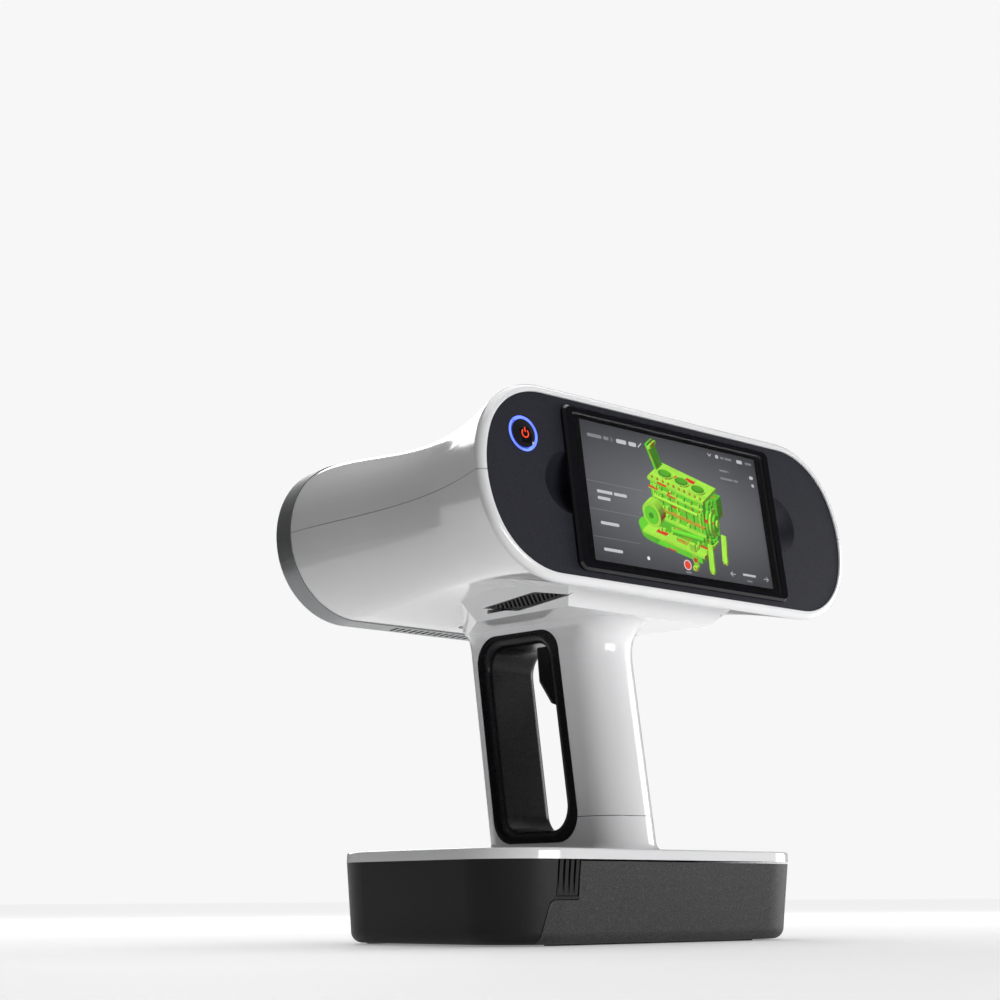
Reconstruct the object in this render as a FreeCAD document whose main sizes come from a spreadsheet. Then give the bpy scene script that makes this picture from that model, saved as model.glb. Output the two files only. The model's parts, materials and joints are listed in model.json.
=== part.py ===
import FreeCAD, Part

import math
import os

import Sketcher

Vector = FreeCAD.Vector
Rotation = FreeCAD.Rotation
Placement = FreeCAD.Placement

# ---------------------------------------------------------------------------
# Handheld 3-D scanner, millimetres.
# +X is the user's right, -Y is the screen side, +Y the lens side, +Z is up.
# The origin is the middle of the bounding box's bottom face.
# ---------------------------------------------------------------------------

doc = FreeCAD.newDocument("HandheldScanner")
dims = doc.addObject("Spreadsheet::Sheet", "Dims")

DRIVING_DIMENSIONS = {
    # whole object
    "overall_width": 230.0,
    "overall_depth": 162.0,
    "overall_height": 231.0,
    "lean": 10.0,
    # head, screen end
    "rear_lean": 9.5,
    "rear_y": -73.6,
    "rear_half_height": 44.5,
    "rim_width": 4.4,
    # head, lens end
    "front_lean": 5.0,
    "front_y": 77.7,
    "front_z": 179.7,
    "front_half_width": 108.4,
    "front_half_height": 37.6,
    "ring_depth": 11.75,
    "ring_wall": 4.0,
    # head, waist
    "waist_half_width": 102.2,
    "waist_half_height": 32.6,
    "head_wall": 2.6,
    # display and power button, in the screen face's own plane
    "screen_frame_width": 131.8,
    "screen_frame_height": 73.9,
    "screen_glass_width": 122.0,
    "screen_glass_height": 67.6,
    "power_x": -88.9,
    "power_y": 19.4,
    "power_ring_radius": 7.75,
    "power_cap_radius": 6.3,
    "scoop_x": 65.4,
    "scoop_y": 1.3,
    "scoop_radius": 13.9,
    # handle
    "stem_width": 32.0,
    "stem_length": 92.6,
    "stem_radius": 15.4,
    "stem_mid_y": 3.46,
    "window_mid_z": 90.65,
    "window_tall": 95.7,
    "window_rear": -19.6,
    "window_front": 36.45,
    "window_radius": 12.0,
    "lip_rear": 8.2,
    "lip_front": 5.0,
    "lip_end": 5.6,
    "grip_seam_z": 53.8,
    "post_seam_z": 128.0,
    "seam_gap": 0.3,
    # neck
    "neck_low_z": 141.0,
    "neck_top_z": 153.0,
    # base
    "base_width": 184.6,
    "base_depth": 127.8,
    "base_mid_y": -5.7,
    "base_corner": 30.0,
    "base_draft": 3.0,
    "base_edge": 5.0,
    "base_wall": 2.8,
    "foot_height": 0.6,
    "cover_low_z": 34.3,
    "cover_thick": 4.4,
    # battery drawer
    "battery_front_y": 5.0,
    "battery_step_z": 18.3,
    "battery_low_half": 75.0,
    "battery_mid_half": 70.0,
    "battery_top_half": 55.6,
    "drawer_gap": 0.3,
    "battery_clear": 0.8,
    "battery_wall": 2.0,
    "cell_radius": 9.2,
    "cell_length": 65.0,
    # trigger
    "trigger_half": 12.0,
    "trigger_pin_radius": 1.5,
    "trigger_pin_y": -6.5,
    "trigger_pin_z": 128.3,
    # fan
    "fan_size": 40.0,
    "fan_z": 157.0,
    "fan_y": -8.0,
    "fan_thick": 10.0,
}

DERIVED_DIMENSIONS = {
    "rear_z": "=overall_height - rear_half_height * cos(rear_lean * 1deg)",
    "rear_half_width": "=overall_width / 2 + 1",
}


def fill_sheet():
    row = 1
    for alias, number in list(DRIVING_DIMENSIONS.items()) + list(DERIVED_DIMENSIONS.items()):
        dims.set("A%d" % row, alias)
        dims.set("B%d" % row, str(number))
        dims.setAlias("B%d" % row, alias)
        row += 1
    doc.recompute()


fill_sheet()


def value(expression):
    """The number an expression gives now; plain numbers pass through."""
    if isinstance(expression, (int, float)):
        return float(expression)
    return float(dims.evalExpression(expression))


def bind(thing, path, expression):
    """Bind one property to the sheet, or set it where the size is a plain number."""
    if isinstance(expression, str):
        thing.setExpression(path, expression)
    else:
        setattr(thing, path, expression)


# ---------------------------------------------------------------------------
# Frames: the screen face and the lens face lean away from the upright
# ---------------------------------------------------------------------------

def leaning_frame(y, z, lean, outward):
    """A placement whose local z is the face's outward normal and local y runs up the face."""
    tilt = math.radians(lean)
    up = Vector(0, math.sin(tilt), math.cos(tilt))
    out = Vector(0, outward * math.cos(tilt), -outward * math.sin(tilt))
    return Placement(Vector(0, y, z), Rotation(up.cross(out), up, out, "ZYX"))


REAR = leaning_frame(value("Dims.rear_y"), value("Dims.rear_z"), value("Dims.rear_lean"), -1)
FRONT = leaning_frame(value("Dims.front_y"), value("Dims.front_z"), value("Dims.front_lean"), 1)
UPRIGHT = Placement()


# ---------------------------------------------------------------------------
# Bodies, sketches and features
# ---------------------------------------------------------------------------

def new_body(label, placement=UPRIGHT):
    body = doc.addObject("PartDesign::Body", label)
    body.Label = label
    body.Placement = placement
    return body


def new_sketch(body, name, plane="XY_Plane", height=0.0):
    sketch = body.newObject("Sketcher::SketchObject", name)
    origin_plane = [feature for feature in body.Origin.OriginFeatures if feature.Role == plane][0]
    sketch.AttachmentSupport = [(origin_plane, "")]
    sketch.MapMode = "FlatFace"
    sketch.setExpression("AttachmentOffset.Base.z", str(height))
    doc.recompute()
    return sketch


def constrain(sketch, *definition):
    return sketch.addConstraint(Sketcher.Constraint(*definition))


def dimension(sketch, expression, *definition):
    """A dimensional constraint whose value follows the sheet."""
    index = constrain(sketch, *definition, value(expression))
    if isinstance(expression, str):
        sketch.setExpression("Constraints[%d]" % index, expression)


def end_at(sketch, geometry, point):
    return 1 if (sketch.getPoint(geometry, 1) - point).Length < 1e-6 else 2


def arc_through(centre, radius, start, finish):
    middle = (start + finish) * 0.5 - centre
    return Part.Arc(start, centre + middle.normalize() * radius, finish)


def circle(sketch, x, y, radius):
    geometry = sketch.addGeometry(Part.Circle(Vector(value(x), value(y), 0), Vector(0, 0, 1), value(radius)))
    dimension(sketch, radius, "Radius", geometry)
    dimension(sketch, x, "DistanceX", -1, 1, geometry, 3)
    dimension(sketch, y, "DistanceY", -1, 1, geometry, 3)


def polygon(sketch, corners, construction=False):
    """Straight edges through corners whose coordinates follow the sheet."""
    points = [Vector(value(x), value(y), 0) for x, y in corners]
    first = sketch.GeometryCount
    count = len(points)
    for index in range(count):
        edge = Part.LineSegment(points[index], points[(index + 1) % count])
        sketch.addGeometry(edge, construction)
    for index in range(count):
        constrain(sketch, "Coincident", first + index, 2, first + (index + 1) % count, 1)
        dimension(sketch, corners[index][0], "DistanceX", -1, 1, first + index, 1)
        dimension(sketch, corners[index][1], "DistanceY", -1, 1, first + index, 1)
    return first


def rounded_polygon(sketch, corners, radius):
    """The same, with one radius at every corner."""
    first = polygon(sketch, corners, True)
    points = [Vector(value(x), value(y), 0) for x, y in corners]
    count = len(points)
    size = value(radius)
    bends = []
    for index in range(count):
        corner = points[index]
        back = (points[index - 1] - corner).normalize()
        ahead = (points[(index + 1) % count] - corner).normalize()
        half = back.getAngle(ahead) / 2
        reach = size / math.tan(half)
        centre = corner + (back + ahead).normalize() * (size / math.sin(half))
        bends.append((corner + back * reach, corner + ahead * reach, centre))
    lines = []
    arcs = []
    for index in range(count):
        line = Part.LineSegment(bends[index][1], bends[(index + 1) % count][0])
        lines.append(sketch.addGeometry(line))
    for start, finish, centre in bends:
        arcs.append(sketch.addGeometry(arc_through(centre, size, start, finish)))
    for index in range(count):
        after = (index + 1) % count
        leaving = end_at(sketch, arcs[index], bends[index][1])
        arriving = end_at(sketch, arcs[after], bends[after][0])
        constrain(sketch, "Tangent", arcs[index], leaving, lines[index], 1)
        constrain(sketch, "Tangent", lines[index], 2, arcs[after], arriving)
        constrain(sketch, "PointOnObject", lines[index], 1, first + index)
        constrain(sketch, "PointOnObject", lines[index], 2, first + index)
    for index in range(1, count):
        constrain(sketch, "Equal", arcs[0], arcs[index])
    dimension(sketch, radius, "Radius", arcs[0])


def box_corners(x, y, width, depth):
    """Corners of a rectangle centred at x, y; every value may be an expression."""
    low_x, high_x = "%s - (%s) / 2" % (x, width), "%s + (%s) / 2" % (x, width)
    low_y, high_y = "%s - (%s) / 2" % (y, depth), "%s + (%s) / 2" % (y, depth)
    return [(low_x, low_y), (high_x, low_y), (high_x, high_y), (low_x, high_y)]


def oval(sketch, half_width, half_height, end_radius, corner_radius):
    """Flat top and bottom, and each end a large arc between two smaller corner arcs, all tangent."""
    width, height = value(half_width), value(half_height)
    end, corner = value(end_radius), value(corner_radius)
    end_x = width - end
    corner_x = end_x + math.sqrt((end - corner) ** 2 - (height - corner) ** 2)
    corner_y = height - corner
    stretch = end / (end - corner)
    touch = Vector(end_x + (corner_x - end_x) * stretch, corner_y * stretch, 0)

    def at(x, y):
        return Vector(x, y, 0)

    joints = [at(-corner_x, height), at(corner_x, height), at(touch.x, touch.y), at(touch.x, -touch.y),
              at(corner_x, -height), at(-corner_x, -height), at(-touch.x, -touch.y), at(-touch.x, touch.y)]
    shapes = [Part.LineSegment(joints[0], joints[1]),
              arc_through(at(corner_x, corner_y), corner, joints[1], joints[2]),
              arc_through(at(end_x, 0), end, joints[2], joints[3]),
              arc_through(at(corner_x, -corner_y), corner, joints[3], joints[4]),
              Part.LineSegment(joints[4], joints[5]),
              arc_through(at(-corner_x, -corner_y), corner, joints[5], joints[6]),
              arc_through(at(-end_x, 0), end, joints[6], joints[7]),
              arc_through(at(-corner_x, corner_y), corner, joints[7], joints[0])]
    edges = [sketch.addGeometry(shape) for shape in shapes]
    for index in range(8):
        after = (index + 1) % 8
        here = end_at(sketch, edges[index], joints[after])
        there = end_at(sketch, edges[after], joints[after])
        constrain(sketch, "Tangent", edges[index], here, edges[after], there)
    constrain(sketch, "Horizontal", edges[0])
    constrain(sketch, "Horizontal", edges[4])
    for index in (3, 5, 7):
        constrain(sketch, "Equal", edges[1], edges[index])
    constrain(sketch, "Equal", edges[2], edges[6])
    constrain(sketch, "PointOnObject", edges[2], 3, -1)
    constrain(sketch, "PointOnObject", edges[6], 3, -1)
    dimension(sketch, corner_radius, "Radius", edges[1])
    dimension(sketch, end_radius, "Radius", edges[2])
    reach = "(%s) - (%s)" % (half_width, end_radius)
    dimension(sketch, reach, "DistanceX", -1, 1, edges[2], 3)
    dimension(sketch, reach, "DistanceX", edges[6], 3, -1, 1)
    dimension(sketch, half_height, "DistanceY", -1, 1, edges[0], 1)
    dimension(sketch, half_height, "DistanceY", edges[4], 1, -1, 1)


def pad(body, sketch, length, midplane=False, reverse=False, direction=None):
    feature = body.newObject("PartDesign::Pad", sketch.Name + "_pad")
    feature.Profile = sketch
    bind(feature, "Length", length)
    feature.Midplane = midplane
    feature.Reversed = reverse
    if direction is not None:
        feature.UseCustomVector = True
        feature.Direction = direction
        feature.AlongSketchNormal = True
    doc.recompute()
    return feature


def pocket(body, sketch, length, midplane=False, reverse=False, direction=None):
    """Cut a sketch away; the volume is compared, because a pocket that misses shows no error."""
    before = body.Shape.Volume
    feature = body.newObject("PartDesign::Pocket", sketch.Name + "_pocket")
    feature.Profile = sketch
    bind(feature, "Length", length)
    feature.Midplane = midplane
    feature.Reversed = reverse
    if direction is not None:
        feature.UseCustomVector = True
        feature.Direction = direction
        feature.AlongSketchNormal = True
    doc.recompute()
    if body.Shape.Volume > before - 1e-3:
        raise RuntimeError("pocket %s cuts nothing" % feature.Name)
    return feature


def revolve(body, sketch, axis="V_Axis"):
    feature = body.newObject("PartDesign::Revolution", sketch.Name + "_turn")
    feature.Profile = sketch
    feature.ReferenceAxis = (sketch, [axis])
    feature.Angle = 360
    doc.recompute()
    return feature


def edges_where(shape, test):
    return ["Edge%d" % (index + 1) for index, edge in enumerate(shape.Edges) if test(edge)]


def fillet(body, test, radius, kind="PartDesign::Fillet"):
    base = body.Tip
    names = edges_where(base.Shape, test)
    feature = body.newObject(kind, body.Name + "_edge")
    feature.Base = (base, names)
    bind(feature, "Radius" if kind.endswith("Fillet") else "Size", radius)
    doc.recompute()
    return feature


def chamfer(body, test, size):
    return fillet(body, test, size, "PartDesign::Chamfer")


def level_edge(z):
    """Edges that lie at one local height."""
    def test(edge):
        return abs(edge.BoundBox.ZMin - z) < 1e-3 and abs(edge.BoundBox.ZMax - z) < 1e-3
    return test


def plate(label, placement, corners, radius, low, thickness):
    """A rounded flat plate standing on local height low."""
    body = new_body(label, placement)
    sketch = new_sketch(body, label + "_outline", height=low)
    rounded_polygon(sketch, corners, radius)
    pad(body, sketch, thickness)
    return body


def turned(label, placement, profile, centre=(0.0, 0.0)):
    """A turned piece: profile is (radius, height) corners, about the local z through centre."""
    offset = Placement(Vector(centre[0], centre[1], 0), Rotation())
    body = new_body(label, placement.multiply(offset))
    sketch = new_sketch(body, label + "_profile", "XZ_Plane")
    polygon(sketch, profile)
    revolve(body, sketch)
    return body


# the small flat at the top of a dome
CROWN_FLAT = 0.6


def domed(label, placement, profile, arc_index, bulge, centre):
    """A turned piece like the one above, with one side of its profile an arc through bulge."""
    body = new_body(label, placement.multiply(Placement(Vector(centre[0], centre[1], 0), Rotation())))
    sketch = new_sketch(body, label + "_profile", "XZ_Plane")
    corners = [Vector(radius, height, 0) for radius, height in profile]
    following = corners[1:] + corners[:1]
    for index, (corner, after) in enumerate(zip(corners, following)):
        if index == arc_index:
            sketch.addGeometry(Part.Arc(corner, Vector(bulge[0], bulge[1], 0), after))
        else:
            sketch.addGeometry(Part.LineSegment(corner, after))
    for index, (corner, after) in enumerate(zip(corners, following)):
        nearby = (index + 1) % len(corners)
        constrain(sketch, "Coincident", index, end_at(sketch, index, after),
                  nearby, end_at(sketch, nearby, after))
        spot = end_at(sketch, index, corner)
        dimension(sketch, corner.x, "DistanceX", -1, 1, index, spot)
        dimension(sketch, corner.y, "DistanceY", -1, 1, index, spot)
    revolve(body, sketch)
    return body


def boolean(kind, label, base, tool):
    feature = doc.addObject("Part::" + kind, label)
    feature.Label = label
    feature.Base = base
    feature.Tool = tool
    doc.recompute()
    return feature


def fused(label, pieces):
    feature = doc.addObject("Part::MultiFuse", label)
    feature.Label = label
    feature.Shapes = pieces
    doc.recompute()
    return feature


def block(label, low, size, placement=UPRIGHT):
    """A box whose low corner and size may be expressions."""
    box = doc.addObject("Part::Box", label)
    for axis, path, expression in zip("xyz", ("Length", "Width", "Height"), size):
        bind(box, path, expression)
    corner = Vector(*[value(coordinate) for coordinate in low])
    box.Placement = placement.multiply(Placement(corner, Rotation()))
    doc.recompute()
    return box


def rod(label, radius, height, placement):
    cylinder = doc.addObject("Part::Cylinder", label)
    bind(cylinder, "Radius", radius)
    bind(cylinder, "Height", height)
    cylinder.Placement = placement
    doc.recompute()
    return cylinder


nodes = {}


def keep(feature):
    nodes[feature.Label] = feature
    return feature


# ---------------------------------------------------------------------------
# Head: one lofted, waisted shell, split along a sloping parting plane
# ---------------------------------------------------------------------------

RIM_ROUND = 3.0
RING_BACK = FRONT.multiply(Placement(Vector(0, 0, -value("Dims.ring_depth")), Rotation()))


def head_frame(share, lean):
    """A section plane that is a share of the way from the lens ring to the screen face."""
    start, finish = RING_BACK.Base, REAR.Base
    middle = start + (finish - start) * share
    return leaning_frame(middle.y, middle.z, lean, -1)


# share of the length, lean, half width, half height, and how much the end arc is larger
# and the corner arc smaller than the half height
HEAD_SECTIONS = [
    (0.0, 5.0, "Dims.front_half_width - 0.4", "Dims.front_half_height - 0.4", 3.3, 1.3),
    (0.25, 5.6, "Dims.waist_half_width + 2.8", "Dims.waist_half_height + 1.9", 4.0, 1.8),
    (0.53, 7.0, "Dims.waist_half_width", "Dims.waist_half_height", 5.5, 2.8),
    (0.76, 8.5, "Dims.waist_half_width + 3.8", "Dims.waist_half_height + 3.7", 7.5, 4.2),
    (1.0, 9.5, "Dims.rear_half_width", "Dims.rear_half_height", 9.8, 5.9),
]


def head_loft(label, inset, rear_inset, overrun):
    """The head's outer form moved inward; overrun carries both ends past their faces."""
    sections = []
    for index, (share, lean, half_width, half_height, end_more, corner_less) in enumerate(HEAD_SECTIONS):
        name = "%s_section_%d" % (label, index)
        sketch = doc.addObject("Sketcher::SketchObject", name)
        placement = head_frame(share, lean)
        shrink = rear_inset if share == 1.0 else inset
        if share == 1.0:
            placement = placement.multiply(Placement(Vector(0, 0, overrun), Rotation()))
        if share == 0.0:
            placement = placement.multiply(Placement(Vector(0, 0, -overrun), Rotation()))
        sketch.Placement = placement
        height = "%s - (%s)" % (half_height, shrink)
        oval(sketch, "%s - (%s)" % (half_width, shrink), height,
             "%s + %s" % (height, end_more), "%s - %s" % (height, corner_less))
        sections.append(sketch)
    doc.recompute()
    loft = doc.addObject("Part::Loft", label)
    loft.Sections = sections
    loft.Solid = True
    loft.Ruled = False
    doc.recompute()
    return loft


PARTING_ANGLE = math.degrees(math.atan2(RING_BACK.Base.z - REAR.Base.z, RING_BACK.Base.y - REAR.Base.y))
PARTING = Placement(REAR.Base, Rotation(Vector(1, 0, 0), PARTING_ANGLE))


def half_space(label, above):
    low = (-150, -60, 0 if above else -100 - value("Dims.seam_gap"))
    return block(label, low, (300, 260, 100), PARTING)


def neck_outline(half_nose, half_front, half_rear, y_nose, y_front, y_rear):
    """Half widths and y of the neck's nose, shoulders and tail, as a six-sided plan."""
    left = [(-half_nose, y_nose), (-half_front, y_front), (-half_rear, y_rear)]
    return left + [(-x, y) for x, y in reversed(left)]


# the neck's flanks: slope of the face and how far each turns outward towards the screen side
FLANK_SLOPE = math.radians(48.5)
FLANK_TURN = math.radians(2.7)


def flank_x(y, rise):
    """Half width of the neck at y, a given rise above its low edge, on one flat flank."""
    return 41.5 + (14.0 - y) * math.tan(FLANK_TURN) + rise / math.tan(FLANK_SLOPE) / math.cos(FLANK_TURN)


def neck_pedestal(body, prefix):
    """The pad between the head's belly and the handle, its flanks sloping outward and up."""
    low = new_sketch(body, prefix + "_low", height="Dims.neck_low_z")
    polygon(low, neck_outline(13.0, flank_x(14.0, 0.0), flank_x(-50.0, 0.0), 55.0, 14.0, -50.0))
    top = new_sketch(body, prefix + "_top", height="Dims.neck_top_z")
    rise = value("Dims.neck_top_z - Dims.neck_low_z")
    polygon(top, neck_outline(16.0, flank_x(17.0, rise), flank_x(-62.0, rise), 63.0, 17.0, -62.0))
    loft = body.newObject("PartDesign::AdditiveLoft", prefix + "_flanks")
    loft.Profile = low
    loft.Sections = [top]
    loft.Ruled = True
    doc.recompute()


def rounded_rim(form):
    """Round the outer edge of the screen-side rim."""
    normal = REAR.Rotation.multVec(Vector(0, 0, 1))
    rim = [index + 1 for index, edge in enumerate(form.Shape.Edges)
           if abs((edge.CenterOfMass - REAR.Base).dot(normal)) < 1e-3]
    feature = doc.addObject("Part::Fillet", "head_outer")
    feature.Base = form
    feature.Edges = [(index, RIM_ROUND, RIM_ROUND) for index in rim]
    doc.recompute()
    return feature


def build_head_shells():
    outer = rounded_rim(head_loft("head_outer_sharp", 0.0, 0.0, 0.0))
    inner = head_loft("head_inner", "Dims.head_wall", "Dims.rim_width", 1.0)
    skin = boolean("Cut", "head_skin", outer, inner)
    upper = boolean("Common", "upper_head_shell", skin, half_space("above_parting", True))
    lower = boolean("Common", "lower_head_half", skin, half_space("below_parting", False))
    keep(upper)
    opening = new_body("neck_opening")
    neck_pedestal(opening, "opening")
    hatch = block("hatch_prism", (-24, 30, 130), (48, 32, 30))
    hatch_gap = block("hatch_gap", (-24.15, 30, 130), (48.3, 32.15, 30))
    cutters = fused("lower_cutters", [opening, hatch_gap])
    keep(boolean("Cut", "lower_head_shell", lower, cutters))
    hatch_blank = boolean("Common", "hatch_blank", lower, hatch)
    recesses = [rod("hatch_recess_%d" % side, 3.4, 11.0, Placement(Vector(side * 18, 50, 136), Rotation()))
                for side in (-1, 1)]
    keep(boolean("Cut", "belly_cover", hatch_blank, fused("hatch_cutters", [opening] + recesses)))


build_head_shells()


SLOT_COUNT = 26
SLOT_PITCH = 3.7


def build_front_ring():
    body = new_body("front_ring", FRONT)
    outline = new_sketch(body, "ring_outline", height="-Dims.ring_depth")
    oval(outline, "Dims.front_half_width", "Dims.front_half_height",
         "Dims.front_half_height + 3.3", "Dims.front_half_height - 1.3")
    pad(body, outline, "Dims.ring_depth")
    opening = new_sketch(body, "ring_opening", height=0.0)
    inner = "Dims.front_half_height - Dims.ring_wall"
    oval(opening, "Dims.front_half_width - Dims.ring_wall", inner, inner + " + 3.3", inner + " - 1.3")
    pocket(body, opening, "Dims.ring_depth")
    fillet(body, level_edge(0.0), 1.5)
    slots = new_sketch(body, "ring_slots", "XZ_Plane", height="Dims.front_half_height - Dims.ring_wall - 2")
    for index in range(SLOT_COUNT):
        x = (index - (SLOT_COUNT - 1) / 2) * SLOT_PITCH
        polygon(slots, box_corners(x, -6.6, 1.7, 6.4))
    pocket(body, slots, 12.0, reverse=True)
    keep(body)


build_front_ring()

# ---------------------------------------------------------------------------
# Lens side: panel, cameras, projector and flash on one bench
# ---------------------------------------------------------------------------

# name, x, y on the lens face, aperture radius; x is the user's right
LENS_MODULES = [
    ("left_camera", -80.0, 0.0, 11.5),
    ("right_camera", 80.0, 0.0, 11.5),
    ("texture_camera", 0.0, 8.0, 9.5),
    ("pattern_projector", 42.0, 0.0, 13.0),
]
FLASH_CENTRE = (0.0, 8.0)
FLASH_RADIUS = 17.5
FLASH_COUNT = 12
PANEL_FRONT = -1.6
PANEL_THICK = 2.6
BENCH_FRONT = -13.0
BENCH_THICK = 4.0


def lens_place(x, y):
    """Lens face coordinates, where x is the user's right, in the face's own frame."""
    return (-x, y)


def flash_places():
    places = []
    for index in range(FLASH_COUNT):
        angle = 2 * math.pi * (index + 0.5) / FLASH_COUNT
        places.append((FLASH_CENTRE[0] + FLASH_RADIUS * math.cos(angle),
                       FLASH_CENTRE[1] + FLASH_RADIUS * math.sin(angle)))
    return places


def build_front_panel():
    body = new_body("front_panel", FRONT)
    outline = new_sketch(body, "front_panel_outline", height=PANEL_FRONT - PANEL_THICK)
    inner = "Dims.front_half_height - Dims.ring_wall - 0.1"
    oval(outline, "Dims.front_half_width - Dims.ring_wall - 0.1", inner, inner + " + 3.3", inner + " - 1.3")
    pad(body, outline, PANEL_THICK)
    holes = new_sketch(body, "front_panel_holes", height=PANEL_FRONT)
    for name, x, y, radius in LENS_MODULES:
        across, up = lens_place(x, y)
        circle(holes, across, up, radius + 0.2)
    for x, y in flash_places():
        across, up = lens_place(x, y)
        circle(holes, across, up, 2.6)
    pocket(body, holes, PANEL_THICK)
    keep(body)


def build_lens_module(name, x, y, radius):
    """A stepped barrel that hangs on the bench, and a domed front lens in its mouth."""
    across, up = lens_place(x, y)
    mouth = PANEL_FRONT + 0.8
    shoulder = BENCH_FRONT
    tail = shoulder - 16.0
    bore = radius - 2.0
    barrel = [(0, tail), (radius - 3.0, tail), (radius - 3.0, shoulder), (radius, shoulder), (radius, mouth),
              (bore, mouth), (bore - 0.8, mouth - 3.0), (bore - 0.8, mouth - 7.0), (0, mouth - 7.0)]
    keep(turned(name + "_barrel", FRONT, barrel, (across, up)))
    rim = bore - 1.0
    front = mouth - 4.2
    crown = mouth - 2.4
    profile = [(0, mouth - 6.9), (rim, mouth - 6.9), (rim, front), (CROWN_FLAT, crown), (0, crown)]
    bulge = (rim * 0.5, front + (crown - front) * 0.77)
    keep(domed(name + "_lens", FRONT, profile, 2, bulge, (across, up)))


def build_bench():
    body = plate("sensor_bench", FRONT, box_corners(0, 0, 196, 52), 8.0, BENCH_FRONT - BENCH_THICK, BENCH_THICK)
    holes = new_sketch(body, "bench_holes", height=BENCH_FRONT)
    for name, x, y, radius in LENS_MODULES:
        across, up = lens_place(x, y)
        circle(holes, across, up, radius - 2.95)
    pocket(body, holes, BENCH_THICK)
    keep(body)


def build_flash():
    across, up = lens_place(*FLASH_CENTRE)
    board_top = PANEL_FRONT - PANEL_THICK - 2.0
    ring = [(12.5, board_top - 1.6), (22.0, board_top - 1.6), (22.0, board_top), (12.5, board_top)]
    keep(turned("flash_board", FRONT, ring, (across, up)))
    body = new_body("flash_leds", FRONT)
    sketch = new_sketch(body, "flash_led_bases", height=board_top)
    for x, y in flash_places():
        across, up = lens_place(x, y)
        circle(sketch, across, up, 2.2)
    pad(body, sketch, 3.2)
    fillet(body, level_edge(board_top + 3.2), 1.9)
    keep(body)


build_front_panel()
for module in LENS_MODULES:
    build_lens_module(*module)
build_bench()
build_flash()

# ---------------------------------------------------------------------------
# Screen side: panel with finger scoops, display and power button
# ---------------------------------------------------------------------------

PANEL_BACK = -3.6
PANEL_FACE = -0.6
SCOOP_DEPTH = 6.0
CUP_WALL = 1.6
DISPLAY_EDGE = 59.5


def rear_rod(label, x, y, radius, low, high):
    base = REAR.multiply(Placement(Vector(value(x), value(y), low), Rotation()))
    return rod(label, radius, high - low, base)


def build_rear_panel():
    """A plate that fills the rim, with two cups behind its scoops and a hole for the button."""
    core = head_loft("panel_core", "Dims.head_wall + 0.12", "Dims.rim_width + 0.12", 1.0)
    slab = block("panel_slab", (-130, -60, PANEL_BACK), (260, 120, PANEL_FACE - PANEL_BACK), REAR)
    blank = boolean("Common", "panel_blank", core, slab)
    cups = []
    dishes = []
    for side, name in ((-1, "left"), (1, "right")):
        cup = rear_rod(name + "_cup_round", side * value("Dims.scoop_x"), "Dims.scoop_y",
                       "Dims.scoop_radius + %s" % CUP_WALL, PANEL_BACK - SCOOP_DEPTH, PANEL_BACK)
        edge = DISPLAY_EDGE if side > 0 else -DISPLAY_EDGE - 40
        side_block = block(name + "_cup_side", (edge, -30, -20), (40, 60, 30), REAR)
        cups.append(boolean("Common", name + "_cup", cup, side_block))
        dish = doc.addObject("Part::Sphere", name + "_dish_round")
        depth = SCOOP_DEPTH + 0.6
        dish.setExpression("Radius", "(Dims.scoop_radius ^ 2 + %s ^ 2) / (2 * %s)" % (depth, depth))
        doc.recompute()
        lift = dish.Radius.Value - depth + PANEL_FACE
        spot = Vector(side * value("Dims.scoop_x"), value("Dims.scoop_y"), lift)
        dish.Placement = REAR.multiply(Placement(spot, Rotation()))
        edge = DISPLAY_EDGE + CUP_WALL if side > 0 else -DISPLAY_EDGE - CUP_WALL - 40
        dish_block = block(name + "_dish_side", (edge, -30, -20), (40, 60, 30), REAR)
        dishes.append(boolean("Common", name + "_dish", dish, dish_block))
    display_hole = block("display_hole", (-58.9, -33.2, -20), (117.8, 66.4, 40), REAR)
    button_hole = rear_rod("button_hole", "Dims.power_x", "Dims.power_y",
                           "Dims.power_ring_radius + 0.1", -10.0, 5.0)
    panel = boolean("Cut", "rear_panel", fused("panel_with_cups", [blank] + cups),
                    fused("panel_cutters", dishes + [display_hole, button_hole]))
    keep(panel)


def build_display():
    frame = plate("display_frame", REAR,
                  box_corners(0, 0, "Dims.screen_frame_width", "Dims.screen_frame_height"),
                  4.0, PANEL_FACE, 2.2)
    window = new_sketch(frame, "frame_window", height=PANEL_FACE + 2.2)
    rounded_polygon(window, box_corners(0, 0, "Dims.screen_glass_width + 0.2", "Dims.screen_glass_height + 0.2"),
                    1.2)
    pocket(frame, window, 2.2)
    chamfer(frame, outer_frame_edge, 1.0)
    keep(frame)
    keep(plate("display_glass", REAR, box_corners(0, 0, "Dims.screen_glass_width", "Dims.screen_glass_height"),
               1.1, PANEL_FACE + 0.6, 1.0))
    keep(plate("display_module", REAR, box_corners(0, 0, 117.4, 66.0), 1.5, -9.0, 8.65))


def outer_frame_edge(edge):
    top = PANEL_FACE + 2.2
    box = edge.BoundBox
    flat = abs(box.ZMin - top) < 1e-3 and abs(box.ZMax - top) < 1e-3
    reach = max(abs(edge.CenterOfMass.x) / 63.0, abs(edge.CenterOfMass.y) / 35.0)
    return flat and reach > 1.0


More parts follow.
